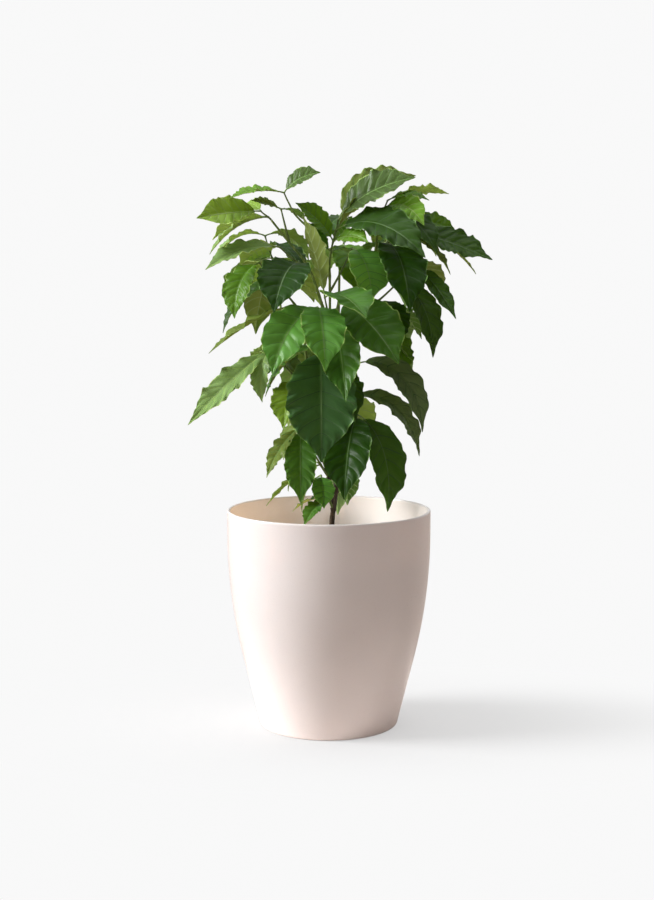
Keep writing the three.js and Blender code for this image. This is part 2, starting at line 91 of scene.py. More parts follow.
class Finish:
    # A material, whose nodes are added one by one.
    def __init__(self, name):
        self.material = bpy.data.materials.new(name)
        self.material.use_nodes = True
        self.tree = self.material.node_tree
        self.tree.nodes.clear()

    def add(self, kind, settings=None, inputs=None, output=0):
        node = self.tree.nodes.new(kind)
        for key, value in (settings or {}).items():
            setattr(node, key, value)
        for key, value in (inputs or {}).items():
            if isinstance(value, Flow):
                self.tree.links.new(value.socket, node.inputs[key])
            else:
                node.inputs[key].default_value = value
        return Flow(self, node.outputs[output]) if node.outputs else None

    def place(self, scale=(1, 1, 1)):
        here = self.add("ShaderNodeTexCoord", output="Object")
        if scale == (1, 1, 1):
            return here
        return self.add("ShaderNodeMapping", {}, {"Vector": here, "Scale": scale})

    def grain(self, scale, detail=3.0, rough=0.55, stretch=(1, 1, 1)):
        inputs = {"Vector": self.place(stretch), "Scale": scale, "Detail": detail, "Roughness": rough}
        return self.add("ShaderNodeTexNoise", {}, inputs)

    def between(self, low, high, share):
        settings = {"data_type": "RGBA"}
        return self.add("ShaderNodeMix", settings, {0: share, 6: low, 7: high}, output=2)

    def tones(self, low, high, share):
        return self.between(hexColour(low), hexColour(high), share)

    def spread(self, value, low, high):
        settings = {"interpolation_type": "SMOOTHSTEP"}
        inputs = {"Value": value, "From Min": low, "From Max": high}
        return self.add("ShaderNodeMapRange", settings, inputs)

    # distance is metres
    def bump(self, height, strength, distance):
        inputs = {"Height": height, "Strength": strength, "Distance": distance}
        return self.add("ShaderNodeBump", {}, inputs)

    def shade(self, inputs, glow=None):
        skin = self.add("ShaderNodeBsdfPrincipled", {}, inputs)
        if glow:
            through = self.add("ShaderNodeBsdfTranslucent", {}, {"Color": glow["colour"]})
            skin = self.add("ShaderNodeMixShader", {}, {0: glow["share"], 1: skin, 2: through})
        self.add("ShaderNodeOutputMaterial", {}, {"Surface": skin})
        return self.material


def meshPiece(name, points, faces, materials, slots=None):
    mesh = bpy.data.meshes.new(name)
    mesh.from_pydata([tuple(p) for p in np.asarray(points) * metre], [], faces)
    for material in materials:
        mesh.materials.append(material)
    if slots is not None:
        mesh.polygons.foreach_set("material_index", np.asarray(slots, dtype=np.int32))
    mesh.polygons.foreach_set("use_smooth", np.ones(len(faces), dtype=bool))
    mesh.update()
    piece = bpy.data.objects.new(name, mesh)
    bpy.context.scene.collection.objects.link(piece)
    return piece


def settle(piece, nodes):
    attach(piece, "root")
    if nodes:
        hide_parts(*nodes)


class Heap:
    # Points and faces of many small shapes that become one piece.
    def __init__(self):
        self.points = []
        self.faces = []
        self.slots = []
        self.count = 0

    # rows: (n, m, 3) points; slots: one material number, or (n - 1, faces across) of them. Two
    # split grids share their diagonals, so that the two sides of a thin blade never cross.
    def grid(self, rows, slots, closed=False, flip=False, split=False):
        n, m = rows.shape[:2]
        self.points.append(rows.reshape(-1, 3))
        across = m if closed else m - 1
        for i in range(n - 1):
            for j in range(across):
                a = self.count + i * m + j
                b = self.count + i * m + (j + 1) % m
                slot = slots[i][j] if hasattr(slots, "__len__") else slots
                halves = [(a, b, b + m), (a, b + m, a + m)] if split else [(a, b, b + m, a + m)]
                for face in halves:
                    self.faces.append(face[::-1] if flip else face)
                    self.slots.append(slot)
        self.count += n * m

    def disc(self, ring, slot, flip=False):
        centre = ring.mean(0)
        m = len(ring)
        self.points.append(np.vstack([ring, centre]))
        for j in range(m):
            face = (self.count + j, self.count + (j + 1) % m, self.count + m)
            self.faces.append(face[::-1] if flip else face)
            self.slots.append(slot)
        self.count += m + 1

    def piece(self, name, materials):
        return meshPiece(name, np.vstack(self.points), self.faces, materials, self.slots)


# The rule of growth is the one in the part's source. Its draws come from a plain linear
# congruential generator, so that both scripts draw the same numbers.
class Chance:
    def __init__(self, seed):
        self.state = seed * 7919
        self.next()

    def next(self):
        self.state = (self.state * 1664525 + 1013904223) % 4294967296
        return self.state / 4294967296

    def about(self, spread):
        return (self.next() * 2 - 1) * spread


def direction(turn, rise):
    level = math.cos(math.radians(rise))
    turn = math.radians(turn)
    return np.array([level * math.cos(turn), level * math.sin(turn), math.sin(math.radians(rise))])


def unit(v):
    return v / np.linalg.norm(v)


# A smooth line through points, with steps by the square root of their distance.
class LimbLine:
    def __init__(self, path):
        self.path = np.array(path, dtype=float)

    def point(self, along):
        path = self.path
        last = len(path) - 1
        whole = min(int(math.floor(last * along)), last - 1)
        share = last * along - whole
        p1, p2 = path[whole], path[whole + 1]
        p0 = path[whole - 1] if whole > 0 else 2 * p1 - p2
        p3 = path[whole + 2] if whole + 2 <= last else 2 * p2 - p1
        d0, d1, d2 = (math.sqrt(np.linalg.norm(b - a)) for a, b in ((p0, p1), (p1, p2), (p2, p3)))
        t1 = ((p1 - p0) / d0 - (p2 - p0) / (d0 + d1) + (p2 - p1) / d1) * d1
        t2 = ((p2 - p1) / d1 - (p3 - p1) / (d1 + d2) + (p3 - p2) / d2) * d1
        c2 = -3 * p1 + 3 * p2 - 2 * t1 - t2
        c3 = 2 * p1 - 2 * p2 + t1 + t2
        return p1 + share * (t1 + share * (c2 + share * c3))

    def tangent(self, along):
        low, high = max(along - 0.0001, 0), min(along + 0.0001, 1)
        return unit(self.point(high) - self.point(low))


# A shoot runs to its tip with a little sag, and goes straight on where it starts at a limb's tip.
class StemLine:
    def __init__(self, shoot):
        line = LimbLine(limbs[shoot["on"]]["path"])
        start = line.point(shoot["at"])
        end = np.array(shoot["to"], dtype=float)
        sag = np.array([0, 0, math.hypot(*(end - start)[:2]) * growth["stemSag"]])
        first = mix(start, end, 1 / 3) - sag
        if shoot["at"] == 1:
            onward = line.tangent(1)
            start = start + onward * growth["seat"]
            first = start + onward * (np.linalg.norm(end - start) / 3)
        self.corners = [start, first, mix(start, end, 2 / 3) - sag, end]

    def point(self, along):
        a, b, c, d = self.corners
        k = 1 - along
        return k**3 * a + 3 * k * k * along * b + 3 * k * along * along * c + along**3 * d


def bendAt(along):
    return along * (1.5 - 0.5 * along)


# The turn, lift and length that bring a leaf's tip to the place aimed at.
def leafAimedAt(aim, start):
    x, y, z, bend, roll, width = aim
    steps = 60
    angles = [math.radians(bend) * bendAt((i + 0.5) / steps) for i in range(steps)]
    level = sum(math.cos(a) for a in angles) / steps
    drop = sum(math.sin(a) for a in angles) / steps
    chord = np.array([x, y, z]) - start
    rise = math.degrees(math.atan2(chord[2], math.hypot(chord[0], chord[1])))
    lift = rise + math.degrees(math.atan2(drop, level))
    length = np.linalg.norm(chord) / math.hypot(level, drop) / (1 + growth["stalk"])
    turn = math.degrees(math.atan2(chord[1], chord[0]))
    return dict(turn=turn, lift=lift, fall=lift - bend, length=length, roll=roll, width=width, swing=0)


# The age of a pair of leaves, from 1 at the shoot's foot to 0 at its tip.
def ageOf(pair, pairs):
    return 1 - pair / (pairs - 1) if pairs > 1 else 0


# Angles are degrees. Of two values, the first holds low in the crown, or at the shoot's tip.
leafHabit = {
    "firstNode": 0.3, "upright": 0.8, "crownHeight": 500, "levelTurn": (36, 74),
    "lift": (-20, 26), "liftLost": 18, "fall": (-82, -52), "fallLost": 10,
    "turnSpread": 14, "pitchSpread": 9, "lengthSpread": 0.12, "rollSpread": 16,
    "widthSpread": 0.05, "swingSpread": 16, "phaseSpread": 0.7,
}


def leavesOf(shoot):
    habit = leafHabit
    line = StemLine(shoot)
    heading = unit(line.point(1) - line.point(0))
    shootTurn = math.degrees(math.atan2(heading[1], heading[0]))
    chance = Chance(shoot["seed"])
    firstTurn = chance.next() * 180
    leaves = []
    for pair in range(shoot["pairs"]):
        age = ageOf(pair, shoot["pairs"])
        start = line.point(mix(1, habit["firstNode"], age))
        height = (start[2] - growth["ground"]) / habit["crownHeight"]
        for side in (0, 1):
            turn = shootTurn + (-1 if side else 1) * mix(*habit["levelTurn"], age)
            if heading[2] > habit["upright"]:
                turn = firstTurn + 90 * pair + 180 * side
            leaf = {"start": start, "turn": turn + chance.about(habit["turnSpread"])}
            leaf["lift"] = mix(*habit["lift"], height) - habit["liftLost"] * age
            leaf["lift"] += chance.about(habit["pitchSpread"])
            leaf["fall"] = mix(*habit["fall"], height) - habit["fallLost"] * age
            leaf["fall"] += chance.about(habit["pitchSpread"])
            leaf["length"] = mix(shoot["leaf"][1], shoot["leaf"][0], age)
            leaf["length"] *= 1 + chance.about(habit["lengthSpread"])
            leaf["roll"] = chance.about(habit["rollSpread"])
            leaf["width"] = growth["width"] + chance.about(habit["widthSpread"])
            leaf["swing"] = chance.about(habit["swingSpread"])
            leaf["phase"] = chance.about(habit["phaseSpread"])
            leaf["aimed"] = len(leaves) in shoot["aimed"]
            if leaf["aimed"]:
                leaf.update(leafAimedAt(shoot["aimed"][len(leaves)], start))
            leaves.append(leaf)
    return leaves


# A blade's breadth along it, as a share of the greatest: it is drawn out into a drip tip.
def outlineAt(along):
    body = math.sin(math.pi * min(max(along, 0), 1) ** 0.9) ** 0.75 if 0 < along < 1 else 0
    return body * (1 - 0.55 * smooth(along, 0.72, 0.95))


# The middle line of a leaf from the stalk's foot, with the ways up and across at each point.
def ribOf(leaf):
    steps = growth["ribSteps"]
    total = leaf["length"] * (1 + growth["stalk"])
    point = leaf["start"].copy()
    rows = []
    for i in range(steps + 1):
        along = i / steps
        pitch = mix(leaf["lift"], leaf["fall"], bendAt(along))
        turn = leaf["turn"] + leaf["swing"] * along
        tangent = direction(turn, pitch)
        above = direction(turn, pitch + 90)
        roll = math.radians(leaf["roll"])
        above = above * math.cos(roll) + np.cross(tangent, above) * math.sin(roll)
        rows.append((point.copy(), above, np.cross(above, tangent)))
        point = point + tangent * (total / steps)
    return [np.array([row[k] for row in rows]) for k in range(3)]


# The sizes and limbs of the plant. A shoot's aimed leaves are numbered from its foot; each has the
# place of its tip, its bend and roll in degrees, and its width as a share of its length.
growth = {
    "ground": 225, "seat": 0.3, "stalk": 0.1, "width": 0.46, "stemSag": 0.08, "stemRadius": 1.7,
    "waves": 4, "waveShare": 0.016, "foldAngle": 14, "ribSteps": 40, "sizes": [1, 0.84, 0.7],
    "nudges": [
        [0, 0], [6, 0], [-6, 0], [0, 6], [0, -6], [13, 4], [-13, 4], [13, -8], [-13, -8],
        [26, 0], [-26, 0], [0, 18], [40, 6], [-40, 6], [60, 0], [-60, 0],
    ],
    "aimedNudges": 9, "ribChecks": (12, 20, 28, 36), "ribGap": 1.6,
}
limbs = {
    "trunk": {
        "radius": [3.6, 1.5], "flare": 3,
        "path": [
            [3, 0, 225.3], [4, 0, 264], [9, 1, 304], [10, 5, 350], [5, 8, 420], [2, 6, 500], [1, 2, 590],
        ],
    },
    "left_stem": {
        "on": "trunk", "radius": [2.5, 1.7],
        "path": [[4, 0, 264], [5, -4, 300], [-8, -9, 350], [-22, -8, 420], [-33, -3, 516]],
    },
    "right_bough": {
        "on": "trunk", "radius": [2.5, 1.5],
        "path": [[6, 7, 404], [22, 10, 450], [42, 10, 530], [58, 8, 600], [62, 6, 640]],
    },
    "left_bough": {
        "on": "trunk", "radius": [2, 1.3],
        "path": [[2, 6, 490], [-12, 0, 552], [-28, -5, 592], [-52, -9, 622], [-72, -10, 647]],
    },
    "sprig_bough": {
        "on": "trunk", "radius": [1.5, 1.1],
        "path": [[1, 2, 574], [-6, -2, 608], [-20, -5, 631], [-43, -6, 655], [-51, -6, 670]],
    },
    "back_bough": {
        "on": "trunk", "radius": [2.4, 1.5],
        "path": [[6, 8, 376], [8, 36, 420], [12, 66, 500], [14, 80, 580]],
    },
    "back_left_bough": {
        "on": "left_stem", "radius": [2.1, 1.4],
        "path": [[-18, -8, 390], [-40, 22, 430], [-58, 52, 500], [-66, 70, 568]],
    },
}
shoots = {
    "sprig_top": {
        "on": "sprig_bough", "at": 1, "to": [-56, -6, 681], "pairs": 1, "leaf": [88, 80], "seed": 11,
        "aimed": {
            0: [-10, -18, 705, 52, 46, 0.62],
            1: [-123, -40, 672, 34, -14, 0.42],
        },
    },
    "sprig_left": {
        "on": "left_bough", "at": 0.72, "to": [-60, -4, 661], "pairs": 1, "leaf": [60, 60], "seed": 12,
        "aimed": {
            0: [-97, -22, 671, 20, -35, 0.5],
            1: [-30, 30, 647, 40, 0, 0.44],
        },
    },
    "left_top": {
        "on": "left_bough", "at": 1, "to": [-85, -12, 658], "pairs": 2, "leaf": [90, 90], "seed": 13,
        "aimed": {
            0: [-146, -58, 603, 50, 18, 0.42],
            1: [-148, 16, 622, 50, 16, 0.42],
            2: [-163, -44, 648, 12, -50, 0.6],
            3: [-105, 30, 670, 30, -40, 0.42],
        },
    },
    "left_front": {
        "on": "left_bough", "at": 0.46, "to": [-61, -20, 613], "pairs": 2, "leaf": [90, 90], "seed": 14,
        "aimed": {
            0: [-66, -98, 532, 70, -10, 0.6],
            1: [-71, 36, 560, 80, 0, 0.5],
            2: [-151, -62, 584, 45, -22, 0.4],
            3: [-114, 14, 587, 60, 25, 0.5],
        },
    },
    "left_mid": {
        "on": "left_stem", "at": 1, "to": [-87, -16, 594], "pairs": 3, "leaf": [92, 88], "seed": 15,
        "aimed": {
            0: [-148, -60, 482, 25, 6, 0.3],
            2: [-134, 4, 504, 75, -30, 0.4],
            4: [-116, -48, 524, 75, -10, 0.54],
        },
    },
    "crown_centre": {
        "on": "trunk", "at": 1, "to": [12, 4, 648], "pairs": 4, "leaf": [90, 100], "seed": 16,
        "aimed": {
            0: [-33, -14, 645, 10, -56, 0.5],
            1: [41, 30, 590, 80, 0, 0.5],
            2: [-42, -14, 668, 34, -56, 0.56],
            3: [49, -42, 618, 50, 40, 0.5],
            4: [81, 24, 687, 40, -30, 0.4],
            5: [117, -78, 597, 74, 38, 0.4],
            6: [108, -24, 698, 44, 48, 0.52],
            7: [112, 30, 703, 62, 42, 0.46],
        },
    },
    "right_top": {
        "on": "right_bough", "at": 1, "to": [74, 4, 672], "pairs": 3, "leaf": [88, 80], "seed": 17,
        "aimed": {
            1: [122, -70, 615, 85, 20, 0.4],
            2: [154, 36, 681, 50, -18, 0.4],
            3: [112, -48, 638, 85, 40, 0.5],
            4: [41, 34, 678, 60, 0, 0.4],
            5: [126, -10, 671, 50, 25, 0.44],
        },
    },
    "right_side": {
        "on": "right_bough", "at": 0.82, "to": [98, 0, 634], "pairs": 3, "leaf": [100, 104], "seed": 18,
        "aimed": {
            1: [98, -86, 532, 82, 0, 0.48],
            2: [189, 34, 578, 70, 20, 0.36],
            3: [152, -16, 578, 75, 10, 0.32],
            4: [165, 20, 630, 70, 45, 0.5],
            5: [203, -36, 597, 14, 40, 0.42],
        },
    },
    "front_right": {
        "on": "trunk", "at": 0.94, "to": [29, -24, 612], "pairs": 1, "leaf": [80, 92], "seed": 19,
        "aimed": {
            0: [-6, 60, 559, 60, 0, 0.5],
            1: [52, -56, 546, 76, 6, 0.78],
        },
    },
    "front_high": {
        "on": "trunk", "at": 0.88, "to": [-5, -40, 551], "pairs": 1, "leaf": [60, 60], "seed": 37,
        "aimed": {
            0: [54, -130, 527, 50, 4, 0.6],
            1: [-33, -20, 652, 16, 72, 0.36],
        },
    },
    "right_front": {
        "on": "trunk", "at": 0.84, "to": [12, -14, 546], "pairs": 2, "leaf": [90, 100], "seed": 50,
        "aimed": {
            0: [9, -108, 425, 60, 20, 0.4],
            2: [72, 44, 484, 75, 0, 0.5],
            3: [85, -86, 470, 36, 32, 0.6],
        },
    },
    "right_outer": {
        "on": "right_bough", "at": 0.5, "to": [108, 0, 592], "pairs": 3, "leaf": [94, 92], "seed": 21,
        "aimed": {
            1: [86, -44, 488, 85, 0, 0.54],
            2: [123, 30, 510, 90, 10, 0.4],
            3: [128, -50, 475, 92, 12, 0.33],
            4: [141, 60, 545, 85, 0, 0.45],
            5: [157, -52, 524, 26, 30, 0.27],
        },
    },
    "front_top": {
        "on": "trunk", "at": 0.72, "to": [-14, -40, 539], "pairs": 2, "leaf": [90, 92], "seed": 22,
        "aimed": {
            2: [-68, -98, 458, 62, -30, 0.54],
            3: [-4, -128, 463, 70, -4, 0.5],
        },
    },
    "front_mid": {
        "on": "trunk", "at": 0.58, "to": [-10, -42, 492], "pairs": 2, "leaf": [92, 150], "seed": 23,
        "aimed": {
            2: [-9, -106, 352, 38, 0, 0.62],
            3: [-70, -14, 421, 60, -20, 0.4],
        },
    },
    "left_hang": {
        "on": "left_stem", "at": 0.78, "to": [-73, -14, 487], "pairs": 2, "leaf": [90, 110], "seed": 24,
        "aimed": {
            0: [-56, -66, 388, 72, 0, 0.54],
            1: [-105, 26, 469, 85, 0, 0.56],
            2: [-174, -66, 394, 12, -34, 0.28],
            3: [-83, -30, 419, 80, 0, 0.4],
        },
    },
    "low_left": {
        "on": "left_stem", "at": 0.36, "to": [-36, -26, 388], "pairs": 2, "leaf": [80, 80], "seed": 25,
        "aimed": {
            0: [-57, -8, 331, 75, 0, 0.36],
            1: [-81, 14, 281, 30, 8, 0.2],
            2: [-35, -70, 297, 44, 0, 0.44],
            3: [-77, -62, 328, 40, -14, 0.33],
        },
    },
    "low_front": {
        "on": "left_stem", "at": 0.12, "to": [-10, -26, 327], "pairs": 2, "leaf": [46, 46], "seed": 26,
        "aimed": {
            0: [-31, -60, 267, 50, 0, 0.42],
            1: [-47, 6, 275, 60, 0, 0.3],
            2: [-34, -28, 280, 60, 0, 0.46],
            3: [-6, -54, 288, 50, 0, 0.66],
        },
    },
    "low_right": {
        "on": "trunk", "at": 0.36, "to": [36, -14, 403], "pairs": 2, "leaf": [100, 108], "seed": 27,
        "aimed": {
            0: [24, 30, 279, 85, 0, 0.5],
            1: [60, -4, 376, 70, 0, 0.56],
            2: [19, -86, 303, 64, 0, 0.52],
            3: [72, -52, 283, 82, 14, 0.4],
        },
    },
    "right_arch": {
        "on": "trunk", "at": 0.5, "to": [34, 0, 466], "pairs": 3, "leaf": [96, 110], "seed": 28,
        "aimed": {
            0: [40, 60, 330, 85, 0, 0.45],
            1: [96, -78, 359, 80, 24, 0.34],
            3: [114, -10, 347, 100, 30, 0.29],
            5: [116, -36, 380, 108, 36, 0.29],
        },
    },
    "back_top": {
        "on": "back_bough", "at": 1, "to": [26, 100, 652], "pairs": 4, "leaf": [112, 78], "seed": 31,
        "aimed": {},
    },
    "back_mid": {
        "on": "back_bough", "at": 0.56, "to": [6, 112, 486], "pairs": 3, "leaf": [100, 104], "seed": 32,
        "aimed": {
            4: [-50, 150, 430, 70, 0, 0.46],
        },
    },
    "back_left_top": {
        "on": "back_left_bough", "at": 1, "to": [-84, 92, 630], "pairs": 4, "leaf": [106, 76], "seed": 33,
        "aimed": {},
    },
    "back_left": {
        "on": "back_left_bough", "at": 0.5, "to": [-64, 92, 488], "pairs": 3, "leaf": [86, 90], "seed": 34,
        "aimed": {},
    },
    "back_right": {
        "on": "right_bough", "at": 0.4, "to": [66, 72, 540], "pairs": 3, "leaf": [98, 98], "seed": 35,
        "aimed": {
            2: [84, 138, 478, 80, 0, 0.5],
        },
    },
    "back_right_top": {
        "on": "right_bough", "at": 0.72, "to": [84, 74, 640], "pairs": 3, "leaf": [100, 80], "seed": 38,
        "aimed": {},
    },
    "low_back": {
        "on": "trunk", "at": 0.32, "to": [-12, 62, 402], "pairs": 3, "leaf": [90, 98], "seed": 36,
        "aimed": {
            3: [30, 64, 300, 80, 0, 0.5],
        },
    },
}


# The places and sizes that the rule lets a leaf try, in its order.
def triesOf(leaf, number):
    sizes = [1] if leaf["aimed"] else growth["sizes"]
    nudges = growth["nudges"][: growth["aimedNudges"]] if leaf["aimed"] else growth["nudges"]
    for size in sizes:
        for turn, tilt in nudges:
            tried = dict(leaf, number=number, turn=leaf["turn"] + turn, lift=leaf["lift"] + tilt)
            tried.update(fall=leaf["fall"] + tilt, length=leaf["length"] * size)
            yield tried


def liesIn(tree, leaf):
    rib = ribOf(leaf)[0]
    gaps = [tree.find_nearest(Vector(rib[i] * metre))[3] / metre for i in growth["ribChecks"]]
    return max(gaps) < growth["ribGap"]


# A leaf stands where the solid of its mass has it: of the places that the rule lets it try, the one
# whose midrib lies in that solid. A leaf that the crown had no room for isn't there either.
def placedLeaves(name, shoot):
    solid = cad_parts["leaves_" + name].data
    tree = BVHTree.FromPolygons([v.co for v in solid.vertices], [p.vertices for p in solid.polygons])
    placed = []
    for number, leaf in enumerate(leavesOf(shoot)):
        found = next((tried for tried in triesOf(leaf, number) if liesIn(tree, tried)), None)
        if found:
            placed.append(found)
    return placed


crown = {name: placedLeaves(name, shoot) for name, shoot in shoots.items()}
print("leaves placed:", sum(len(leaves) for leaves in crown.values()))


# Blade tints from the shaded and old leaves to the young ones, with the light that shines through.
leafTints = {
    "deep": {"base": "1c3a0a", "light": "25460f", "through": "7aa834", "coat": 0.15},
    "dark": {"base": "314f1a", "light": "3c5b23", "through": "88b23e", "coat": 0.2},
    "slate": {"base": "375c2e", "light": "43683a", "through": "86ac54"},
    "moss": {"base": "4a622d", "light": "577039", "through": "9cae52"},
    "mid": {"base": "437026", "light": "507e30", "through": "98c444"},
    "grass": {"base": "56811f", "light": "64902b", "through": "a8cc3c"},
    "bright": {"base": "599439", "light": "69a348", "through": "aad452"},
    "fresh": {"base": "70a228", "light": "7eb038", "through": "b4e048"},
    "lime": {"base": "7fa330", "light": "8fb33f", "through": "c4de58"},
    "olive": {"base": "6f8435", "light": "7f9444", "through": "b4be5c"},
    "sage": {"base": "5b6f4c", "light": "687c57", "through": "a4b468"},
    "pale": {"base": "81a25e", "light": "91b16e", "through": "c8de92"},
}
undersides = {
    "paleUnder": {"base": "93b268", "light": "a0be76", "through": "c6dc8c"},
    "oliveUnder": {"base": "899c4e", "light": "96a55a", "through": "c0cc74"},
    "limeUnder": {"base": "abc763", "light": "b9d371", "through": "d2e688"},
    "darkUnder": {"base": "5c7f37", "light": "688b41", "through": "a8c860"},
}
gloss = {
    "roughness": 0.46, "coat": 0.25, "coatRoughness": 0.26, "specular": 0.1, "through": 0.36,
    "patches": 45, "patchRoughness": 0.08, "grain": 420, "grainShare": 0.3, "grainBump": 0.02,
    "grainDepth": 0.0002, "underRoughness": 0.2, "veinGrain": 160, "veinRoughness": 0.45,
    "veinSpecular": 0.3,
}


# With dull at 1, as on an underside, the coat goes and the roughness rises.
def leafFinish(name, tint, dull=0.0):
    finish = Finish(name)
    patches = finish.spread(finish.grain(gloss["patches"], 2.0), 0.3, 0.7)
    grain = finish.grain(gloss["grain"], 3.0)
    share = patches * (1 - gloss["grainShare"]) + grain * gloss["grainShare"]
    smoothest = gloss["roughness"] + gloss["underRoughness"] * dull
    inputs = {
        "Base Color": finish.tones(tint["base"], tint["light"], share),
        "Roughness": patches * gloss["patchRoughness"] + smoothest,
        "Normal": finish.bump(grain, gloss["grainBump"], gloss["grainDepth"]),
        "Coat Weight": tint.get("coat", gloss["coat"]) * (1 - dull),
        "Coat Roughness": gloss["coatRoughness"],
        "Specular IOR Level": gloss["specular"],
    }
    glow = {"colour": hexColour(tint["through"]), "share": gloss["through"]}
    return finish.shade(inputs, glow)


def veinFinish(name, low, high):
    finish = Finish(name)
    inputs = {
        "Base Color": finish.tones(low, high, finish.grain(gloss["veinGrain"], 2.0)),
        "Roughness": gloss["veinRoughness"],
        "Specular IOR Level": gloss["veinSpecular"],
    }
    return finish.shade(inputs)


leafMaterials = [leafFinish("leaf_" + name, tint) for name, tint in leafTints.items()]
leafMaterials += [leafFinish("leaf_" + name, tint, 1.0) for name, tint in undersides.items()]
veinKinds = {
    "veinDark": ("38552a", "446235"),
    "veinMid": ("587f34", "648b3e"),
    "veinLight": ("8cab4e", "9ab75c"),
    "ribDark": ("5a7a42", "68884e"),
    "ribMid": ("779c50", "85aa5c"),
    "ribLight": ("a0bc64", "aec872"),
    "ribPale": ("a3b87a", "b2c68a"),
    # The edge colours are painted highlight and painted light shining through the thin margin.
    "edgeDark": ("5b8238", "688f44"),
    "edgeMid": ("8fb054", "9cbc60"),
    "edgeLight": ("b6cc70", "c2d67e"),
}
leafMaterials += [veinFinish(name, *colours) for name, colours in veinKinds.items()]
leafSlot = {m.name.replace("leaf_", ""): i for i, m in enumerate(leafMaterials)}
print("leaf finishes made")


# Widths, reliefs and puffs are millimetres on a blade of full length. A ruffle is a share of the
# length and a scallop of the breadth. Ruffles and puffs are smaller on a slim blade.
bladeShape = {
    "veins": 7, "fewestVeins": 5, "firstVein": 0.05, "veinRun": 0.88, "veinJitter": 0.12, "between": 6,
    "sweep": 0.17, "veinWidth": 0.7, "veinRelief": 0.18, "thickness": 0.42, "fullLength": 90,
    "ribWidth": 0.5, "ribRelief": 0.9, "groove": 0.6, "grooveWidth": 1.3, "puff": 1.3, "puffWidth": 0.52,
    "puffRange": (0.35, 1.6), "ruffle": 0.016, "ruffleWidth": 0.45, "scallop": 0.028,
    "lively": (0.65, 1.35), "ripples": [(3.1, 0.35), (10.7, 0.6), (15.2, 0.35)],
    "columns": [0.12, 0.27, 0.44, 0.62, 0.78, 0.89, 0.96, 1.0],
    "edgeBeats": 2.6, "edgeFrom": -0.35,
}
outlineSteps = np.linspace(0, 1, 401)
outlineTable = np.array([outlineAt(along) for along in outlineSteps])


# A smooth reading between evenly spaced rows.
def cubic(rows, place):
    last = len(rows) - 1
    place = np.clip(place, 0, last)
    k = np.minimum(place.astype(int), last - 1)
    t = (place - k)[..., None]
    p0, p1, p2, p3 = (rows[np.clip(k + i, 0, last)] for i in (-1, 0, 1, 2))
    p0 = np.where((k == 0)[..., None], 2 * p1 - p2, p0)
    p3 = np.where((k == last - 1)[..., None], 2 * p2 - p1, p3)
    slope1, slope2 = (p2 - p0) / 2, (p3 - p1) / 2
    bend = 3 * (p2 - p1) - 2 * slope1 - slope2
    return p1 + t * (slope1 + t * (bend + t * (slope1 + slope2 - 2 * (p2 - p1))))


# The blade's rows along its rib: each side vein has one on either side of it, with others between.
def bladeRows(length, centres):
    vein = bladeShape["veinWidth"] / length / 2
    steps = bladeShape["between"]
    rows, onVein = [0.0], []
    for end in [centre - vein for centre in centres] + [1.0]:
        for left in range(steps, 1, -1):
            rows.append(mix(rows[-1], end, 1 / left))
        rows.append(end)
        onVein += [False] * steps
        if end < 1:
            rows.append(end + 2 * vein)
            onVein.append(True)
    return rows, onVein


# Material numbers of the blade's faces: its rib, its side veins, and an edge that comes and goes,
# a painted highlight with painted light shining through the margin.
def bladeSlots(look, rows, onVein, across, chance):
    middle = across // 2
    phases = chance.about(3.1), chance.about(3.1)
    topSlots, underSlots = [], []
    for along, veinRow in zip(rows, onVein):
        kinds = ["vein" if veinRow and 0 < j < across - 1 else "top" for j in range(across)]
        kinds[middle - 1] = kinds[middle] = "rib"
        underSlots.append([leafSlot[look["under"] if kind == "top" else "ribPale"] for kind in kinds])
        # painted highlight: where the sine runs high, the margin takes the lighter edge colour
        for end, phase in zip((0, -1), phases):
            if math.sin(2 * math.pi * bladeShape["edgeBeats"] * along + phase) > bladeShape["edgeFrom"]:
                kinds[end] = "edge"
        topSlots.append([leafSlot[look[kind]] for kind in kinds])
    return topSlots, underSlots


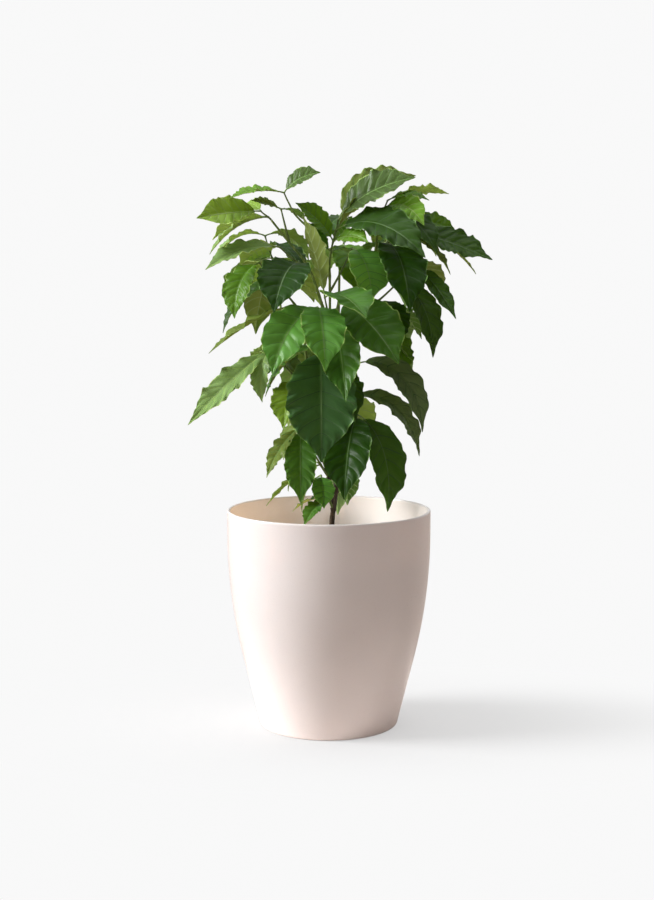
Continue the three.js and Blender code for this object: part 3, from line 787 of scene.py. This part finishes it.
def addBlade(heap, leaf, look, chance):
    shape = bladeShape
    length, width = leaf["length"], leaf["width"]
    grown = min(1, length / shape["fullLength"])
    veins = max(shape["fewestVeins"], round(shape["veins"] * min(1, length / shape["fullLength"] + 0.25)))
    jitters = [shape["veinJitter"] * chance.about(1) for _ in range(veins)]
    centres = [shape["firstVein"] + shape["veinRun"] * (k + 0.5 + j) / veins for k, j in enumerate(jitters)]
    rows, onVein = bladeRows(length, centres)

    # u runs from one margin to the other, t along the rib, and s along the blade, as a side vein
    # climbs towards the tip on its way out
    t = np.array(rows)[:, None]
    ribHalf = shape["ribWidth"] * mix(1.0, 0.25, t) * grown
    halfHere = np.maximum(length * width * np.interp(t, outlineSteps, outlineTable) / 2, 0.02)
    ribShare = np.clip(ribHalf / np.maximum(halfHere, 0.5), 0.02, 0.6)
    columns = np.hstack([np.zeros_like(t), ribShare] + [mix(ribShare, 1.0, c) for c in shape["columns"]])
    u = np.hstack([-columns[:, :0:-1], columns])
    side, reach = np.sign(u), np.abs(u)
    s = np.clip(t + shape["sweep"] * 4 * t * (1 - t) * reach * (0.75 + 0.25 * reach), 0, 1)
    breadth = np.interp(s, outlineSteps, outlineTable)
    half = length * width * breadth / 2
    envelope = np.sin(np.pi * s)

    # the margin rises between the side veins and is drawn in at their ends, with slower and
    # quicker ripples on top
    lively = mix(*shape["lively"], chance.next())
    beat = 2 * np.pi * veins * (t - shape["firstVein"]) / shape["veinRun"] * np.ones_like(s)
    ruffle, scallop = -np.cos(beat + chance.about(0.6)), -np.cos(beat)
    for beats, share in shape["ripples"]:
        first = chance.about(3.1) + np.where(side > 0, 0, chance.about(3.1))
        angle = 2 * np.pi * beats * s + first + 0.8 * np.sin(2 * np.pi * 1.7 * s + first)
        ruffle += share * np.cos(angle)
        scallop += share * np.cos(angle + 1.9)
    half = half * (1 + shape["scallop"] * lively * scallop * envelope**0.5 * reach)
    phase = leaf["phase"] + np.where(side > 0, 0, math.pi)
    wave = np.cos(2 * np.pi * growth["waves"] * s + phase) * envelope * growth["waveShare"] * length
    ruffle = ruffle * breadth * shape["ruffle"] * lively * length * min(1, width / shape["ruffleWidth"])
    fold = math.radians(growth["foldAngle"])
    height = reach * half * math.sin(fold) + reach**1.4 * wave + reach**2.6 * ruffle

    # the blade swells between its side veins and dips along the midrib
    nearest = np.min(np.abs(t - np.array([centres])), axis=1, keepdims=True) * length
    swell = np.clip(nearest * veins / (0.44 * length), 0, 1)
    fullnesses = [mix(*shape["puffRange"], chance.next()) for _ in range(veins + 2)]
    swell = swell * (2 - swell) * np.interp(t, [0] + centres + [1], fullnesses)
    puff = shape["puff"] * length / shape["fullLength"] * min(1, width / shape["puffWidth"])
    height += puff * swell * np.sin(np.pi * np.clip(reach, 0.02, 0.98)) ** 0.6 * envelope**0.5
    dip = np.exp(-((reach * half / shape["grooveWidth"]) ** 2)) * envelope**0.5 * (reach > 0)
    height -= shape["groove"] * dip

    point, above, across = ribOf(leaf)
    stalkEnd = growth["stalk"] / (1 + growth["stalk"])
    place = mix(stalkEnd, 1, s) * (len(point) - 1)
    middle, up, over = cubic(point, place), cubic(above, place), cubic(across, place)
    top = middle + over * (u * half * math.cos(fold))[..., None] + up * height[..., None]
    ridge = shape["ribRelief"] * mix(1.0, 0.3, s) * grown
    thick = shape["thickness"] + np.where(reach <= ribShare * 0.5, ridge, 0)
    thick = thick + np.where(swell < 0.2, shape["veinRelief"], 0) * envelope
    under = top - up * thick[..., None]

    topSlots, underSlots = bladeSlots(look, rows, onVein, u.shape[1] - 1, chance)
    heap.grid(top, topSlots, flip=True, split=True)
    heap.grid(under, underSlots, split=True)
    # The rim faces take the edge colour, a painted highlight along the margin.
    rim = leafSlot[look["edge"]]
    heap.grid(np.stack([top[:, 0], under[:, 0]], 1), rim)
    heap.grid(np.stack([top[:, -1], under[:, -1]], 1), rim, flip=True)


# The tints of the leaves that stand out; the others get theirs by chance.
looks = {
    "sprig_top": {0: "moss", 1: "fresh"},
    "sprig_left": {0: "olive", 1: "dark"},
    "left_top": {0: "pale", 1: "pale", 2: "lime", 3: "lime"},
    "left_front": {0: "deep", 1: "mid", 2: "pale", 3: "pale"},
    "left_mid": {0: "olive", 2: "dark", 3: "olive", 4: "grass", 5: "pale"},
    "crown_centre": {0: "mid", 2: "grass", 3: "fresh", 4: "olive", 5: "dark", 6: "moss", 7: "olive"},
    "right_top": {1: "dark", 2: "pale", 3: "fresh", 5: "grass"},
    "right_side": {1: "deep", 2: "olive", 3: "olive", 4: "grass", 5: "dark"},
    "front_right": {0: "mid", 1: "bright"},
    "front_high": {0: "mid", 1: "pale"},
    "right_front": {0: "mid", 3: "mid"},
    "right_outer": {1: "deep", 3: "dark", 5: "dark"},
    "front_top": {1: "dark", 2: "bright", 3: "bright"},
    "front_mid": {2: "slate", 3: "bright"},
    "left_hang": {0: "lime", 1: "moss", 2: "pale", 3: "pale"},
    "low_left": {0: "lime", 1: "slate", 2: "mid", 3: "olive"},
    "low_front": {0: "mid", 1: "slate", 2: "dark", 3: "bright"},
    "low_right": {0: "dark", 1: "olive", 2: "deep", 3: "dark"},
    "right_arch": {1: "olive", 2: "lime", 3: "sage", 5: "sage"},
    "back_top": {2: "mid", 3: "grass", 6: "dark", 7: "deep"},
    "back_mid": {2: "bright"},
    "back_left_top": {0: "dark", 3: "olive", 4: "deep", 6: "olive", 7: "pale"},
    "back_right": {5: "deep"},
    "back_right_top": {2: "dark"},
    "low_back": {0: "deep", 4: "olive"},
}
looksByChance = ["deep", "dark", "dark", "mid", "grass", "bright"]
# The undersides that show and aren't left to chance.
seenBelow = {
    "front_high": {1: "oliveUnder"},
    "left_top": {0: "limeUnder", 1: "limeUnder"},
    "left_front": {3: "limeUnder"},
    "left_mid": {3: "limeUnder", 5: "limeUnder"},
    "crown_centre": {0: "darkUnder"},
    "low_left": {1: "darkUnder"},
    "right_top": {2: "limeUnder"},
    "right_arch": {2: "limeUnder", 3: "paleUnder"},
    "low_right": {0: "darkUnder"},
    "back_top": {6: "darkUnder", 7: "darkUnder"},
    "back_right": {5: "darkUnder"},
    "back_right_top": {2: "darkUnder"},
    "back_left_top": {3: "limeUnder", 4: "darkUnder", 6: "paleUnder", 7: "limeUnder"},
}
veinsOf = {
    "deep": "Dark", "dark": "Dark", "slate": "Dark", "sage": "Dark", "moss": "Mid", "mid": "Mid",
    "grass": "Mid", "bright": "Mid", "olive": "Mid", "fresh": "Light", "lime": "Light", "pale": "Light",
}


def lookOf(name, leaf, chance):
    number = leaf["number"]
    top = looks.get(name, {}).get(number)
    if not top:
        top = looksByChance[int(chance.next() * (len(looksByChance) - 0.01))]
    under = "oliveUnder" if top in ("lime", "olive") or chance.next() > 0.75 else "paleUnder"
    return {
        "top": top,
        "vein": "vein" + veinsOf[top],
        "rib": "rib" + veinsOf[top],
        # the edge colour is painted highlight along the margin
        "edge": "edge" + veinsOf[top],
        "under": seenBelow.get(name, {}).get(number, under),
    }


# The crown is four pieces, each made of several masses.
regions = {
    "foliage_left": [
        "sprig_top", "sprig_left", "left_top", "left_front", "left_mid", "left_hang", "low_left",
        "low_front",
    ],
    "foliage_middle": [
        "crown_centre", "front_high", "front_right", "right_front", "front_top", "front_mid", "low_right",
    ],
    "foliage_right": ["right_top", "right_side", "right_outer", "right_arch"],
    "foliage_back": [
        "back_top", "back_mid", "back_left_top", "back_left", "back_right", "back_right_top", "low_back",
    ],
}
for region, names in regions.items():
    heap = Heap()
    for name in names:
        chance = Chance(shoots[name]["seed"] + 400)
        for leaf in crown[name]:
            addBlade(heap, leaf, lookOf(name, leaf, chance), chance)
    piece = heap.piece(region, leafMaterials)
    settle(piece, ["leaves_" + name for name in names])
    print(region, len(heap.faces), "triangles")


# A closed tube along points; each radius is one number, or one for each side.
def tube(heap, points, radii, sides, slot):
    points = np.asarray(points)
    tangents = np.gradient(points, axis=0)
    tangents /= np.linalg.norm(tangents, axis=1)[:, None]
    across = unit(np.cross(np.array([0.13, 1, 0.07]), tangents[0]))
    angles = np.arange(sides) * 2 * math.pi / sides
    rings = []
    for point, tangent, radius in zip(points, tangents, radii):
        across = unit(across - tangent * np.dot(across, tangent))
        above = np.cross(tangent, across)
        spokes = np.cos(angles)[:, None] * across + np.sin(angles)[:, None] * above
        rings.append(point + spokes * np.asarray(radius).reshape(-1, 1))
    rings = np.array(rings)
    heap.grid(rings, slot, closed=True)
    heap.disc(rings[0], slot, flip=True)
    heap.disc(rings[-1], slot)


def greenFinish(name, low, high, roughness):
    finish = Finish(name)
    streaks = finish.spread(finish.grain(220, 4.0, 0.6, (1, 1, 0.25)), 0.35, 0.7)
    relief = finish.bump(streaks, 0.3, 0.0004)
    colour = finish.tones(low, high, streaks)
    return finish.shade({"Base Color": colour, "Roughness": roughness, "Normal": relief})


stalkMaterials = [
    greenFinish("shoot_green", "53692a", "748742", 0.5),
    greenFinish("stalk_green", "6d8a3e", "86a050", 0.42),
]
stalkShape = {
    "foot": 1.15, "neck": 0.8, "sides": 7, "steps": 6, "shootTip": 0.9, "shootSides": 9,
    "shootSteps": 26, "node": 0.55, "nodeLength": 0.035,
}


# A shoot's radii: it narrows to its tip and swells where its pairs of leaves stand.
def shootRadii(shoot, shares):
    foot = limbs[shoot["on"]]["radius"][1] if shoot["at"] == 1 else growth["stemRadius"]
    pairs = shoot["pairs"]
    nodes = [mix(1, leafHabit["firstNode"], ageOf(pair, pairs)) for pair in range(pairs)]
    radii = []
    for share in shares:
        swell = sum(math.exp(-(((share - node) / stalkShape["nodeLength"]) ** 2)) for node in nodes)
        radii.append(mix(foot, stalkShape["shootTip"], share) + stalkShape["node"] * min(swell, 1))
    return radii


stalks = Heap()
stalkRadii = np.linspace(stalkShape["foot"], stalkShape["neck"], stalkShape["steps"])
for name, shoot in shoots.items():
    line = StemLine(shoot)
    shares = np.linspace(0, 1, stalkShape["shootSteps"])
    points = [line.point(share) for share in shares]
    tube(stalks, points, shootRadii(shoot, shares), stalkShape["shootSides"], 0)
    for leaf in crown[name]:
        tube(stalks, ribOf(leaf)[0][: stalkShape["steps"]], stalkRadii, stalkShape["sides"], 1)
piece = stalks.piece("shoots_and_stalks", stalkMaterials)
settle(piece, [])
print("shoots and stalks", len(stalks.faces) * 2, "triangles")


barkShape = {
    "sides": 22, "step": 1.3, "ridge": 0.22, "bulge": 0.12, "knot": 0.7, "knotLength": 2.6,
    "internode": 34, "flareFade": 22, "bare": ("2a2016", "54442f"),
    "green": ("58722c", "8ca04e"), "greenFrom": 0.36, "greenTo": 0.54, "roughness": 0.78,
}


def barkFinish():
    finish = Finish("bark")
    height = finish.add("ShaderNodeSeparateXYZ", {}, {0: finish.place()}, output="Z")
    cracks = finish.spread(finish.grain(320, 6.0, 0.62, (1, 1, 0.16)), 0.36, 0.66)
    patches = finish.spread(finish.grain(38, 3.0), 0.4, 0.66)
    brown = finish.tones(*barkShape["bare"], cracks)
    green = finish.tones(*barkShape["green"], cracks)
    upward = finish.spread(height + patches * 0.05, barkShape["greenFrom"], barkShape["greenTo"])
    colour = finish.between(brown, green, upward)
    relief = finish.bump(cracks, 0.55, 0.0006)
    rough = barkShape["roughness"] - cracks * 0.1
    return finish.shade({"Base Color": colour, "Roughness": rough, "Normal": relief})


# The radii round a limb at one height: ridges along it, slow bulges, and a knot at each internode.
def barkRing(radius, along, number):
    beat = (along / barkShape["internode"]) % 1
    fromKnot = (beat - 0.5) * barkShape["internode"]
    knot = barkShape["knot"] * math.exp(-((fromKnot / barkShape["knotLength"]) ** 2)) * (radius / 3)
    ring = []
    for k in range(barkShape["sides"]):
        angle = 2 * math.pi * k / barkShape["sides"]
        x, y = math.cos(angle), math.sin(angle)
        ridgeSpot = Vector((x * 1.6, y * 1.6, along * 0.035 + number * 9)) * 1.7
        ridges = noise.fractal(ridgeSpot, 0.7, 2.2, 3) * barkShape["ridge"] * (radius / 2.4)
        bulge = noise.noise(Vector((x * 0.5, y * 0.5, along * 0.05 + number * 5)))
        lobes = knot * (0.7 + 0.6 * math.cos(angle * 2 + number))
        ring.append(radius + ridges + lobes + bulge * barkShape["bulge"] * radius)
    return ring


bark = Heap()
for number, limb in enumerate(limbs.values()):
    line = LimbLine(limb["path"])
    reach = float(sum(np.linalg.norm(np.diff(line.path, axis=0), axis=1)))
    points, radii = [], []
    for share in np.linspace(0, 1, int(reach / barkShape["step"])):
        flare = limb.get("flare", 0) * math.exp(-share * barkShape["flareFade"])
        points.append(line.point(share))
        radii.append(barkRing(mix(*limb["radius"], share) + flare, share * reach, number))
    tube(bark, points, radii, barkShape["sides"], 0)
piece = bark.piece("trunk_and_boughs", [barkFinish()])
settle(piece, list(limbs))
print("trunk and boughs", len(bark.faces) * 2, "triangles")


planter = {
    "height": 280, "rimRadius": 130.5, "flareAngle": 14, "shoulderRadius": 665, "lipHeight": 30,
    "wall": 3.6, "floor": 5, "footRound": 4, "sides": 192, "lipFlat": 0.9,
    "groove": [(9, 0), (8, 1.2), (2.4, 1.2), (1.6, 0)],
}
glaze = {
    "cloud": 9, "speck": 900, "roughness": 0.26, "uneven": 0.04, "coat": 0.5, "coatRoughness": 0.08,
    "depthRadius": (1.0, 0.6, 0.42), "depthScale": 0.01,
}


# The wall's outer radius: upright at the lip, then a long curve, then a straight taper to the foot.
def wallRadius(height):
    lean = math.radians(planter["flareAngle"])
    curveTop = planter["height"] - planter["lipHeight"]
    curveFoot = curveTop - planter["shoulderRadius"] * math.sin(lean)
    drop = min(max(curveTop - height, 0), curveTop - curveFoot)
    curved = planter["shoulderRadius"] - math.sqrt(planter["shoulderRadius"] ** 2 - drop**2)
    return planter["rimRadius"] - curved - max(curveFoot - height, 0) * math.tan(lean)


def planterFinish(name, low, high, depth):
    finish = Finish(name)
    cloud = finish.spread(finish.grain(glaze["cloud"], 2.0), 0.35, 0.7)
    speck = finish.grain(glaze["speck"], 2.0)
    inputs = {
        "Base Color": finish.tones(low, high, cloud),
        "Roughness": speck * glaze["uneven"] + glaze["roughness"],
        "Normal": finish.bump(speck, 0.03, 0.0003),
        "Coat Weight": glaze["coat"],
        "Coat Roughness": glaze["coatRoughness"],
        "Specular IOR Level": 0.5,
        "Subsurface Weight": depth,
        "Subsurface Radius": glaze["depthRadius"],
        "Subsurface Scale": glaze["depthScale"],
    }
    return finish.shade(inputs)


def ringAt(radius, height, sides):
    angles = np.arange(sides) * 2 * math.pi / sides
    return np.stack([radius * np.cos(angles), radius * np.sin(angles), np.full(sides, height)], 1)


def mergeDoubles(piece):
    made = bmesh.new()
    made.from_mesh(piece.data)
    bmesh.ops.remove_doubles(made, verts=made.verts, dist=1e-7)
    bmesh.ops.recalc_face_normals(made, faces=made.faces)
    made.to_mesh(piece.data)
    made.free()


# Rings joined into one closed piece, with the second material from the ring numbered inner.
def turned(name, rings, materials, inner):
    heap = Heap()
    slots = [[int(i >= inner)] * len(rings[0]) for i in range(len(rings) - 1)]
    heap.grid(np.array(rings), slots, closed=True)
    heap.disc(rings[0], 0, flip=True)
    heap.disc(rings[-1], slots[-1][0])
    piece = heap.piece(name, materials)
    mergeDoubles(piece)
    return piece


# Radii and heights up the outside, over the lip and down the inside, and where the inside begins.
def planterProfile():
    top, wall, floor, foot = planter["height"], planter["wall"], planter["floor"], planter["footRound"]
    edge = wallRadius(0) - foot
    profile = [(r, 0) for r in (20, 45, 65)]
    profile += [(edge - inwards, rise) for inwards, rise in planter["groove"]]
    for degrees in range(0, 91, 15):
        a = math.radians(degrees)
        profile.append((edge + (wallRadius(foot) - edge) * math.sin(a), foot - foot * math.cos(a)))
    profile += [(wallRadius(z), z) for z in np.linspace(foot + 4, top - 3.2, 46)]
    bow, centre = wall / 2, wallRadius(top) - wall / 2
    for degrees in range(20, 181, 20):
        a = math.radians(degrees)
        drop = bow * planter["lipFlat"] * (1 - math.sin(a))
        profile.append((centre + bow * math.cos(a), top - drop))
    inner = len(profile) - 1
    profile += [(wallRadius(z) - wall, z) for z in np.linspace(top - 4, floor + 3, 40)]
    profile += [(wallRadius(floor) - wall - 3, floor), (40, floor), (12, floor)]
    return profile, inner


# The inside is a lighter copy of the same glaze: painted light, for the brightly lit inner wall.
lacquers = [
    planterFinish("planter_lacquer", "e0d9d7", "e4dddb", 0.06),
    planterFinish("planter_inside_painted_light", "f6efe9", "faf4ef", 0.0),
]
profile, inner = planterProfile()
rings = [ringAt(radius, height, planter["sides"]) for radius, height in profile]
pot = turned("planter_shell", rings, lacquers, inner)
settle(pot, ["planter"])
print("planter", len(pot.data.polygons) * 2, "triangles")


mixShape = {
    "rings": 46, "spokes": 150, "clear": 0.5, "sunk": 4.4, "highest": 1.2, "clod": 3.2,
    "clodScale": 0.045, "fine": 1.1, "fineScale": 0.22, "mound": 2.0, "moundAt": 3, "moundSpread": 16,
}


def soilFinish(name, low, high, rough):
    finish = Finish(name)
    lumps = finish.spread(finish.grain(210, 6.0, 0.65), 0.32, 0.7)
    colour = finish.tones(low, high, lumps)
    relief = finish.bump(lumps, 0.8, 0.0015)
    return finish.shade({"Base Color": colour, "Roughness": rough - lumps * 0.08, "Normal": relief})


# Clods and fine lumps over a low mound round the trunk.
def soilHeight(x, y):
    spot = Vector((x, y, 3.0))
    clods = noise.fractal(spot * mixShape["clodScale"], 0.8, 2.1, 4) * mixShape["clod"]
    fine = noise.fractal(spot * mixShape["fineScale"], 0.9, 2.0, 3) * mixShape["fine"]
    away = math.hypot(x - mixShape["moundAt"], y) / mixShape["moundSpread"]
    height = growth["ground"] - mixShape["sunk"] + clods + fine + mixShape["mound"] * math.exp(-(away**2))
    return min(height, growth["ground"] + mixShape["highest"])


def soilBed():
    ground, spokes = growth["ground"], mixShape["spokes"]
    inset = planter["wall"] + mixShape["clear"]
    rings = [ringAt(wallRadius(z) - inset, z, spokes) for z in np.linspace(ground - 60, ground - 12, 6)]
    outer = wallRadius(ground - 4) - inset
    for share in np.linspace(1, 0, mixShape["rings"] + 1):
        ring = ringAt(outer * share + 0.4, 0, spokes)
        ring[:, 2] = [soilHeight(x, y) for x, y in ring[:, :2]]
        rings.append(ring)
    return turned("potting_mix", rings, [soilFinish("potting_mix", "1f1610", "4a3828", 0.92)], len(rings))


bed = soilBed()
settle(bed, ["soil"])
print("potting mix", len(bed.data.polygons) * 2, "triangles")


# A node tree scatters crumbs over the bed's upper side. Each is a small ball, stretched at random,
# and flat is the least share of its height that it keeps.
def scatterTree(name, material, flat):
    tree = bpy.data.node_groups.new(name, "GeometryNodeTree")
    inputs = {
        "Geometry": "NodeSocketGeometry", "Count per m2": "NodeSocketFloat", "Size": "NodeSocketFloat",
        "Seed": "NodeSocketInt",
    }
    for label, kind in inputs.items():
        tree.interface.new_socket(label, in_out="INPUT", socket_type=kind)
    tree.interface.new_socket("Geometry", in_out="OUTPUT", socket_type="NodeSocketGeometry")

    def node(kind, settings=None, values=None):
        made = tree.nodes.new(kind)
        for key, value in (settings or {}).items():
            setattr(made, key, value)
        for key, value in (values or {}).items():
            made.inputs[key].default_value = value
        return made

    start, end = node("NodeGroupInput"), node("NodeGroupOutput")
    normal, parts = node("GeometryNodeInputNormal"), node("ShaderNodeSeparateXYZ")
    upward = node("ShaderNodeMath", {"operation": "GREATER_THAN"}, {1: 0.45})
    points = node("GeometryNodeDistributePointsOnFaces")
    crumb = node("GeometryNodeMeshIcoSphere", {}, {"Subdivisions": 1})
    turn = node("FunctionNodeRandomValue", {"data_type": "FLOAT_VECTOR"}, {1: (6.28, 6.28, 6.28)})
    sizes = {0: (0.5, 0.35, flat), 1: (1.5, 1.0, flat * 1.8)}
    size = node("FunctionNodeRandomValue", {"data_type": "FLOAT_VECTOR"}, sizes)
    place = node("GeometryNodeInstanceOnPoints")
    real = node("GeometryNodeRealizeInstances")
    paint = node("GeometryNodeSetMaterial", {}, {"Material": material})
    joins = [
        (normal, 0, parts, 0),
        (parts, 2, upward, 0),
        (upward, 0, points, "Selection"),
        (start, "Geometry", points, "Mesh"),
        (start, "Count per m2", points, "Density"),
        (start, "Seed", points, "Seed"),
        (start, "Size", crumb, "Radius"),
        (points, "Points", place, "Points"),
        (crumb, "Mesh", place, "Instance"),
        (turn, 0, place, "Rotation"),
        (size, 0, place, "Scale"),
        (place, 0, real, 0),
        (real, 0, paint, "Geometry"),
        (paint, 0, end, 0),
    ]
    for source, output, target, socket in joins:
        tree.links.new(source.outputs[output], target.inputs[socket])
    return tree


def scatter(name, tree, values):
    carrier = bpy.data.objects.new(name + "_carrier", bed.data.copy())
    bpy.context.scene.collection.objects.link(carrier)
    modifier = carrier.modifiers.new("scatter", "NODES")
    modifier.node_group = tree
    for item in tree.interface.items_tree:
        if item.in_out == "INPUT" and item.name in values:
            modifier[item.identifier] = values[item.name]
    graph = bpy.context.evaluated_depsgraph_get()
    mesh = bpy.data.meshes.new_from_object(carrier.evaluated_get(graph))
    mesh.name = name
    bpy.data.objects.remove(carrier)
    piece = bpy.data.objects.new(name, mesh)
    bpy.context.scene.collection.objects.link(piece)
    settle(piece, [])
    print(name, len(mesh.polygons), "faces")


barkBits = scatterTree("bark crumbs", soilFinish("bark_crumb", "3a2617", "7a5c3e", 0.85), 0.3)
scatter("bark_crumbs", barkBits, {"Count per m2": 26000.0, "Size": 0.0021, "Seed": 4})
perliteBits = scatterTree("perlite", soilFinish("perlite", "b9b2a4", "e8e4da", 0.8), 0.8)
scatter("perlite_grains", perliteBits, {"Count per m2": 2600.0, "Size": 0.0012, "Seed": 9})


# Places here are metres. The camera stands where the photograph's stood.
studio = {
    "eye": (0.0, -2.0, 0.578), "tilt": 6.33, "focal": 1573.0, "axis": 328.8,
    "frame": (654, 900), "sensor": 36.0, "backdrop": (0.945, 0.945, 0.945),
    "leftSky": (0.42, 0.42, 0.42), "rightSky": (0.088, 0.073, 0.065), "backSky": (0.8, 0.8, 0.8),
    "warmFrom": -0.5, "warmTo": 0.6, "backFrom": 0.15, "backTo": 0.75, "innerLamp": (0.12, 0.03),
}
width, height = studio["frame"]
camera = bpy.data.objects.new("camera", bpy.data.cameras.new("camera"))
bpy.context.scene.collection.objects.link(camera)
camera.data.sensor_width = studio["sensor"]
camera.data.lens = studio["focal"] / height * studio["sensor"]
camera.data.shift_x = (width / 2 - studio["axis"]) / height
camera.location = studio["eye"]
camera.rotation_euler = (math.radians(90 - studio["tilt"]), 0, 0)
bpy.context.scene.camera = camera


def lamp(name, kind, place, towards, strength, colour):
    data = bpy.data.lights.new(name, kind)
    data.energy = strength
    data.color = colour
    light = bpy.data.objects.new(name, data)
    bpy.context.scene.collection.objects.link(light)
    light.location = place
    light.rotation_euler = Vector(towards).to_track_quat("-Z", "Y").to_euler()
    return light


# A soft light comes from the side that place names, as from a far and wide screen.
def softLight(name, place, spread, strength, colour):
    light = lamp(name, "SUN", place, -Vector(place), strength, colour)
    light.data.angle = math.radians(spread)


# The planter's lit inner walls throw light on each other, warm on the left one.
def bounceLight(name, place, towards, strength, colour):
    light = lamp(name, "AREA", place, towards, strength, colour)
    light.data.shape = "RECTANGLE"
    light.data.size, light.data.size_y = studio["innerLamp"]
    light.visible_camera = False


softLight("key", (-2.2, -0.14, 1.05), 26, 4.5, (0.98, 0.99, 1.0))
softLight("top", (-0.1, 0.0, 2.0), 60, 1.5, (1.0, 1.0, 1.0))
bounceLight("bounce_left", (-0.03, -0.05, 0.237), (-0.9, 0.25, 0.3), 0.12, (1.0, 0.68, 0.45))
bounceLight("bounce_right", (0.035, -0.035, 0.237), (0.8, 0.5, 0.25), 0.045, (0.95, 0.97, 1.0))

# The room is bright behind and on the left, and dimmer and warmer at the front on the right.
world = bpy.data.worlds.new("studio")
bpy.context.scene.world = world
world.use_nodes = True
nodes, links = world.node_tree.nodes, world.node_tree.links
nodes.clear()
placeNode, partsNode = nodes.new("ShaderNodeTexCoord"), nodes.new("ShaderNodeSeparateXYZ")
links.new(placeNode.outputs["Generated"], partsNode.inputs[0])


# One sky passes into another along an axis.
def blend(axis, low, high, first, second):
    share, tint = nodes.new("ShaderNodeMapRange"), nodes.new("ShaderNodeMix")
    share.interpolation_type = "SMOOTHSTEP"
    share.inputs["From Min"].default_value = low
    share.inputs["From Max"].default_value = high
    tint.data_type = "RGBA"
    links.new(partsNode.outputs[axis], share.inputs["Value"])
    links.new(share.outputs[0], tint.inputs[0])
    for socket, colour in ((6, first), (7, second)):
        if isinstance(colour, tuple):
            tint.inputs[socket].default_value = (*colour, 1)
        else:
            links.new(colour, tint.inputs[socket])
    return tint.outputs[2]


front = blend("X", studio["warmFrom"], studio["warmTo"], studio["leftSky"], studio["rightSky"])
room = blend("Y", studio["backFrom"], studio["backTo"], front, studio["backSky"])
skyNode, seenNode = nodes.new("ShaderNodeBackground"), nodes.new("ShaderNodeBackground")
links.new(room, skyNode.inputs["Color"])
seenNode.inputs["Color"].default_value = (*studio["backdrop"], 1)
pathNode, mixNode = nodes.new("ShaderNodeLightPath"), nodes.new("ShaderNodeMixShader")
endNode = nodes.new("ShaderNodeOutputWorld")
links.new(pathNode.outputs["Is Camera Ray"], mixNode.inputs[0])
links.new(skyNode.outputs[0], mixNode.inputs[1])
links.new(seenNode.outputs[0], mixNode.inputs[2])
links.new(mixNode.outputs[0], endNode.inputs[0])
bpy.context.scene.view_settings.view_transform = "Standard"


floorLook = {
    "centre": (-0.04, 0, 0), "stretch": (0.75, 1.4, 1), "near": 0.1, "far": 0.42, "half": 40000,
    "shadowed": (0.3, 0.3, 0.3, 1), "lift": (0.5, 0.5, 0.5, 1), "bounceNear": (1.0, 0.87, 0.8, 1),
    "bounceFar": (0.42, 0.35, 0.31, 1),
}


# The floor takes the shadow near the planter and passes into the backdrop further off. What it
# throws back on the planter is warmer than what the camera sees of it.
def floorPiece():
    finish = Finish("floor")
    around = {"Vector": finish.place(), "Location": floorLook["centre"], "Scale": floorLook["stretch"]}
    spot = finish.add("ShaderNodeMapping", {}, around)
    reach = finish.add("ShaderNodeVectorMath", {"operation": "LENGTH"}, {0: spot}, output="Value")
    far = finish.spread(reach, floorLook["near"], floorLook["far"])
    inputs = {
        "Base Color": finish.between(floorLook["shadowed"], (0, 0, 0, 1), far),
        "Roughness": 0.9,
        "Specular IOR Level": 0.0,
        "Emission Color": finish.between(floorLook["lift"], (*studio["backdrop"], 1), far),
        "Emission Strength": 1.0,
    }
    seen = finish.add("ShaderNodeBsdfPrincipled", {}, inputs)
    warmth = finish.between(floorLook["bounceNear"], floorLook["bounceFar"], far)
    thrown = finish.add("ShaderNodeBsdfDiffuse", {}, {"Color": warmth})
    direct = finish.add("ShaderNodeLightPath", output="Is Camera Ray")
    both = finish.add("ShaderNodeMixShader", {}, {0: direct, 1: thrown, 2: seen})
    finish.add("ShaderNodeOutputMaterial", {}, {"Surface": both})
    half = floorLook["half"]
    corners = [(-half, -half, 0), (half, -half, 0), (half, half, 0), (-half, half, 0)]
    return meshPiece("floor", corners, [(0, 1, 2, 3)], [finish.material])


floorPiece()
print("studio set")
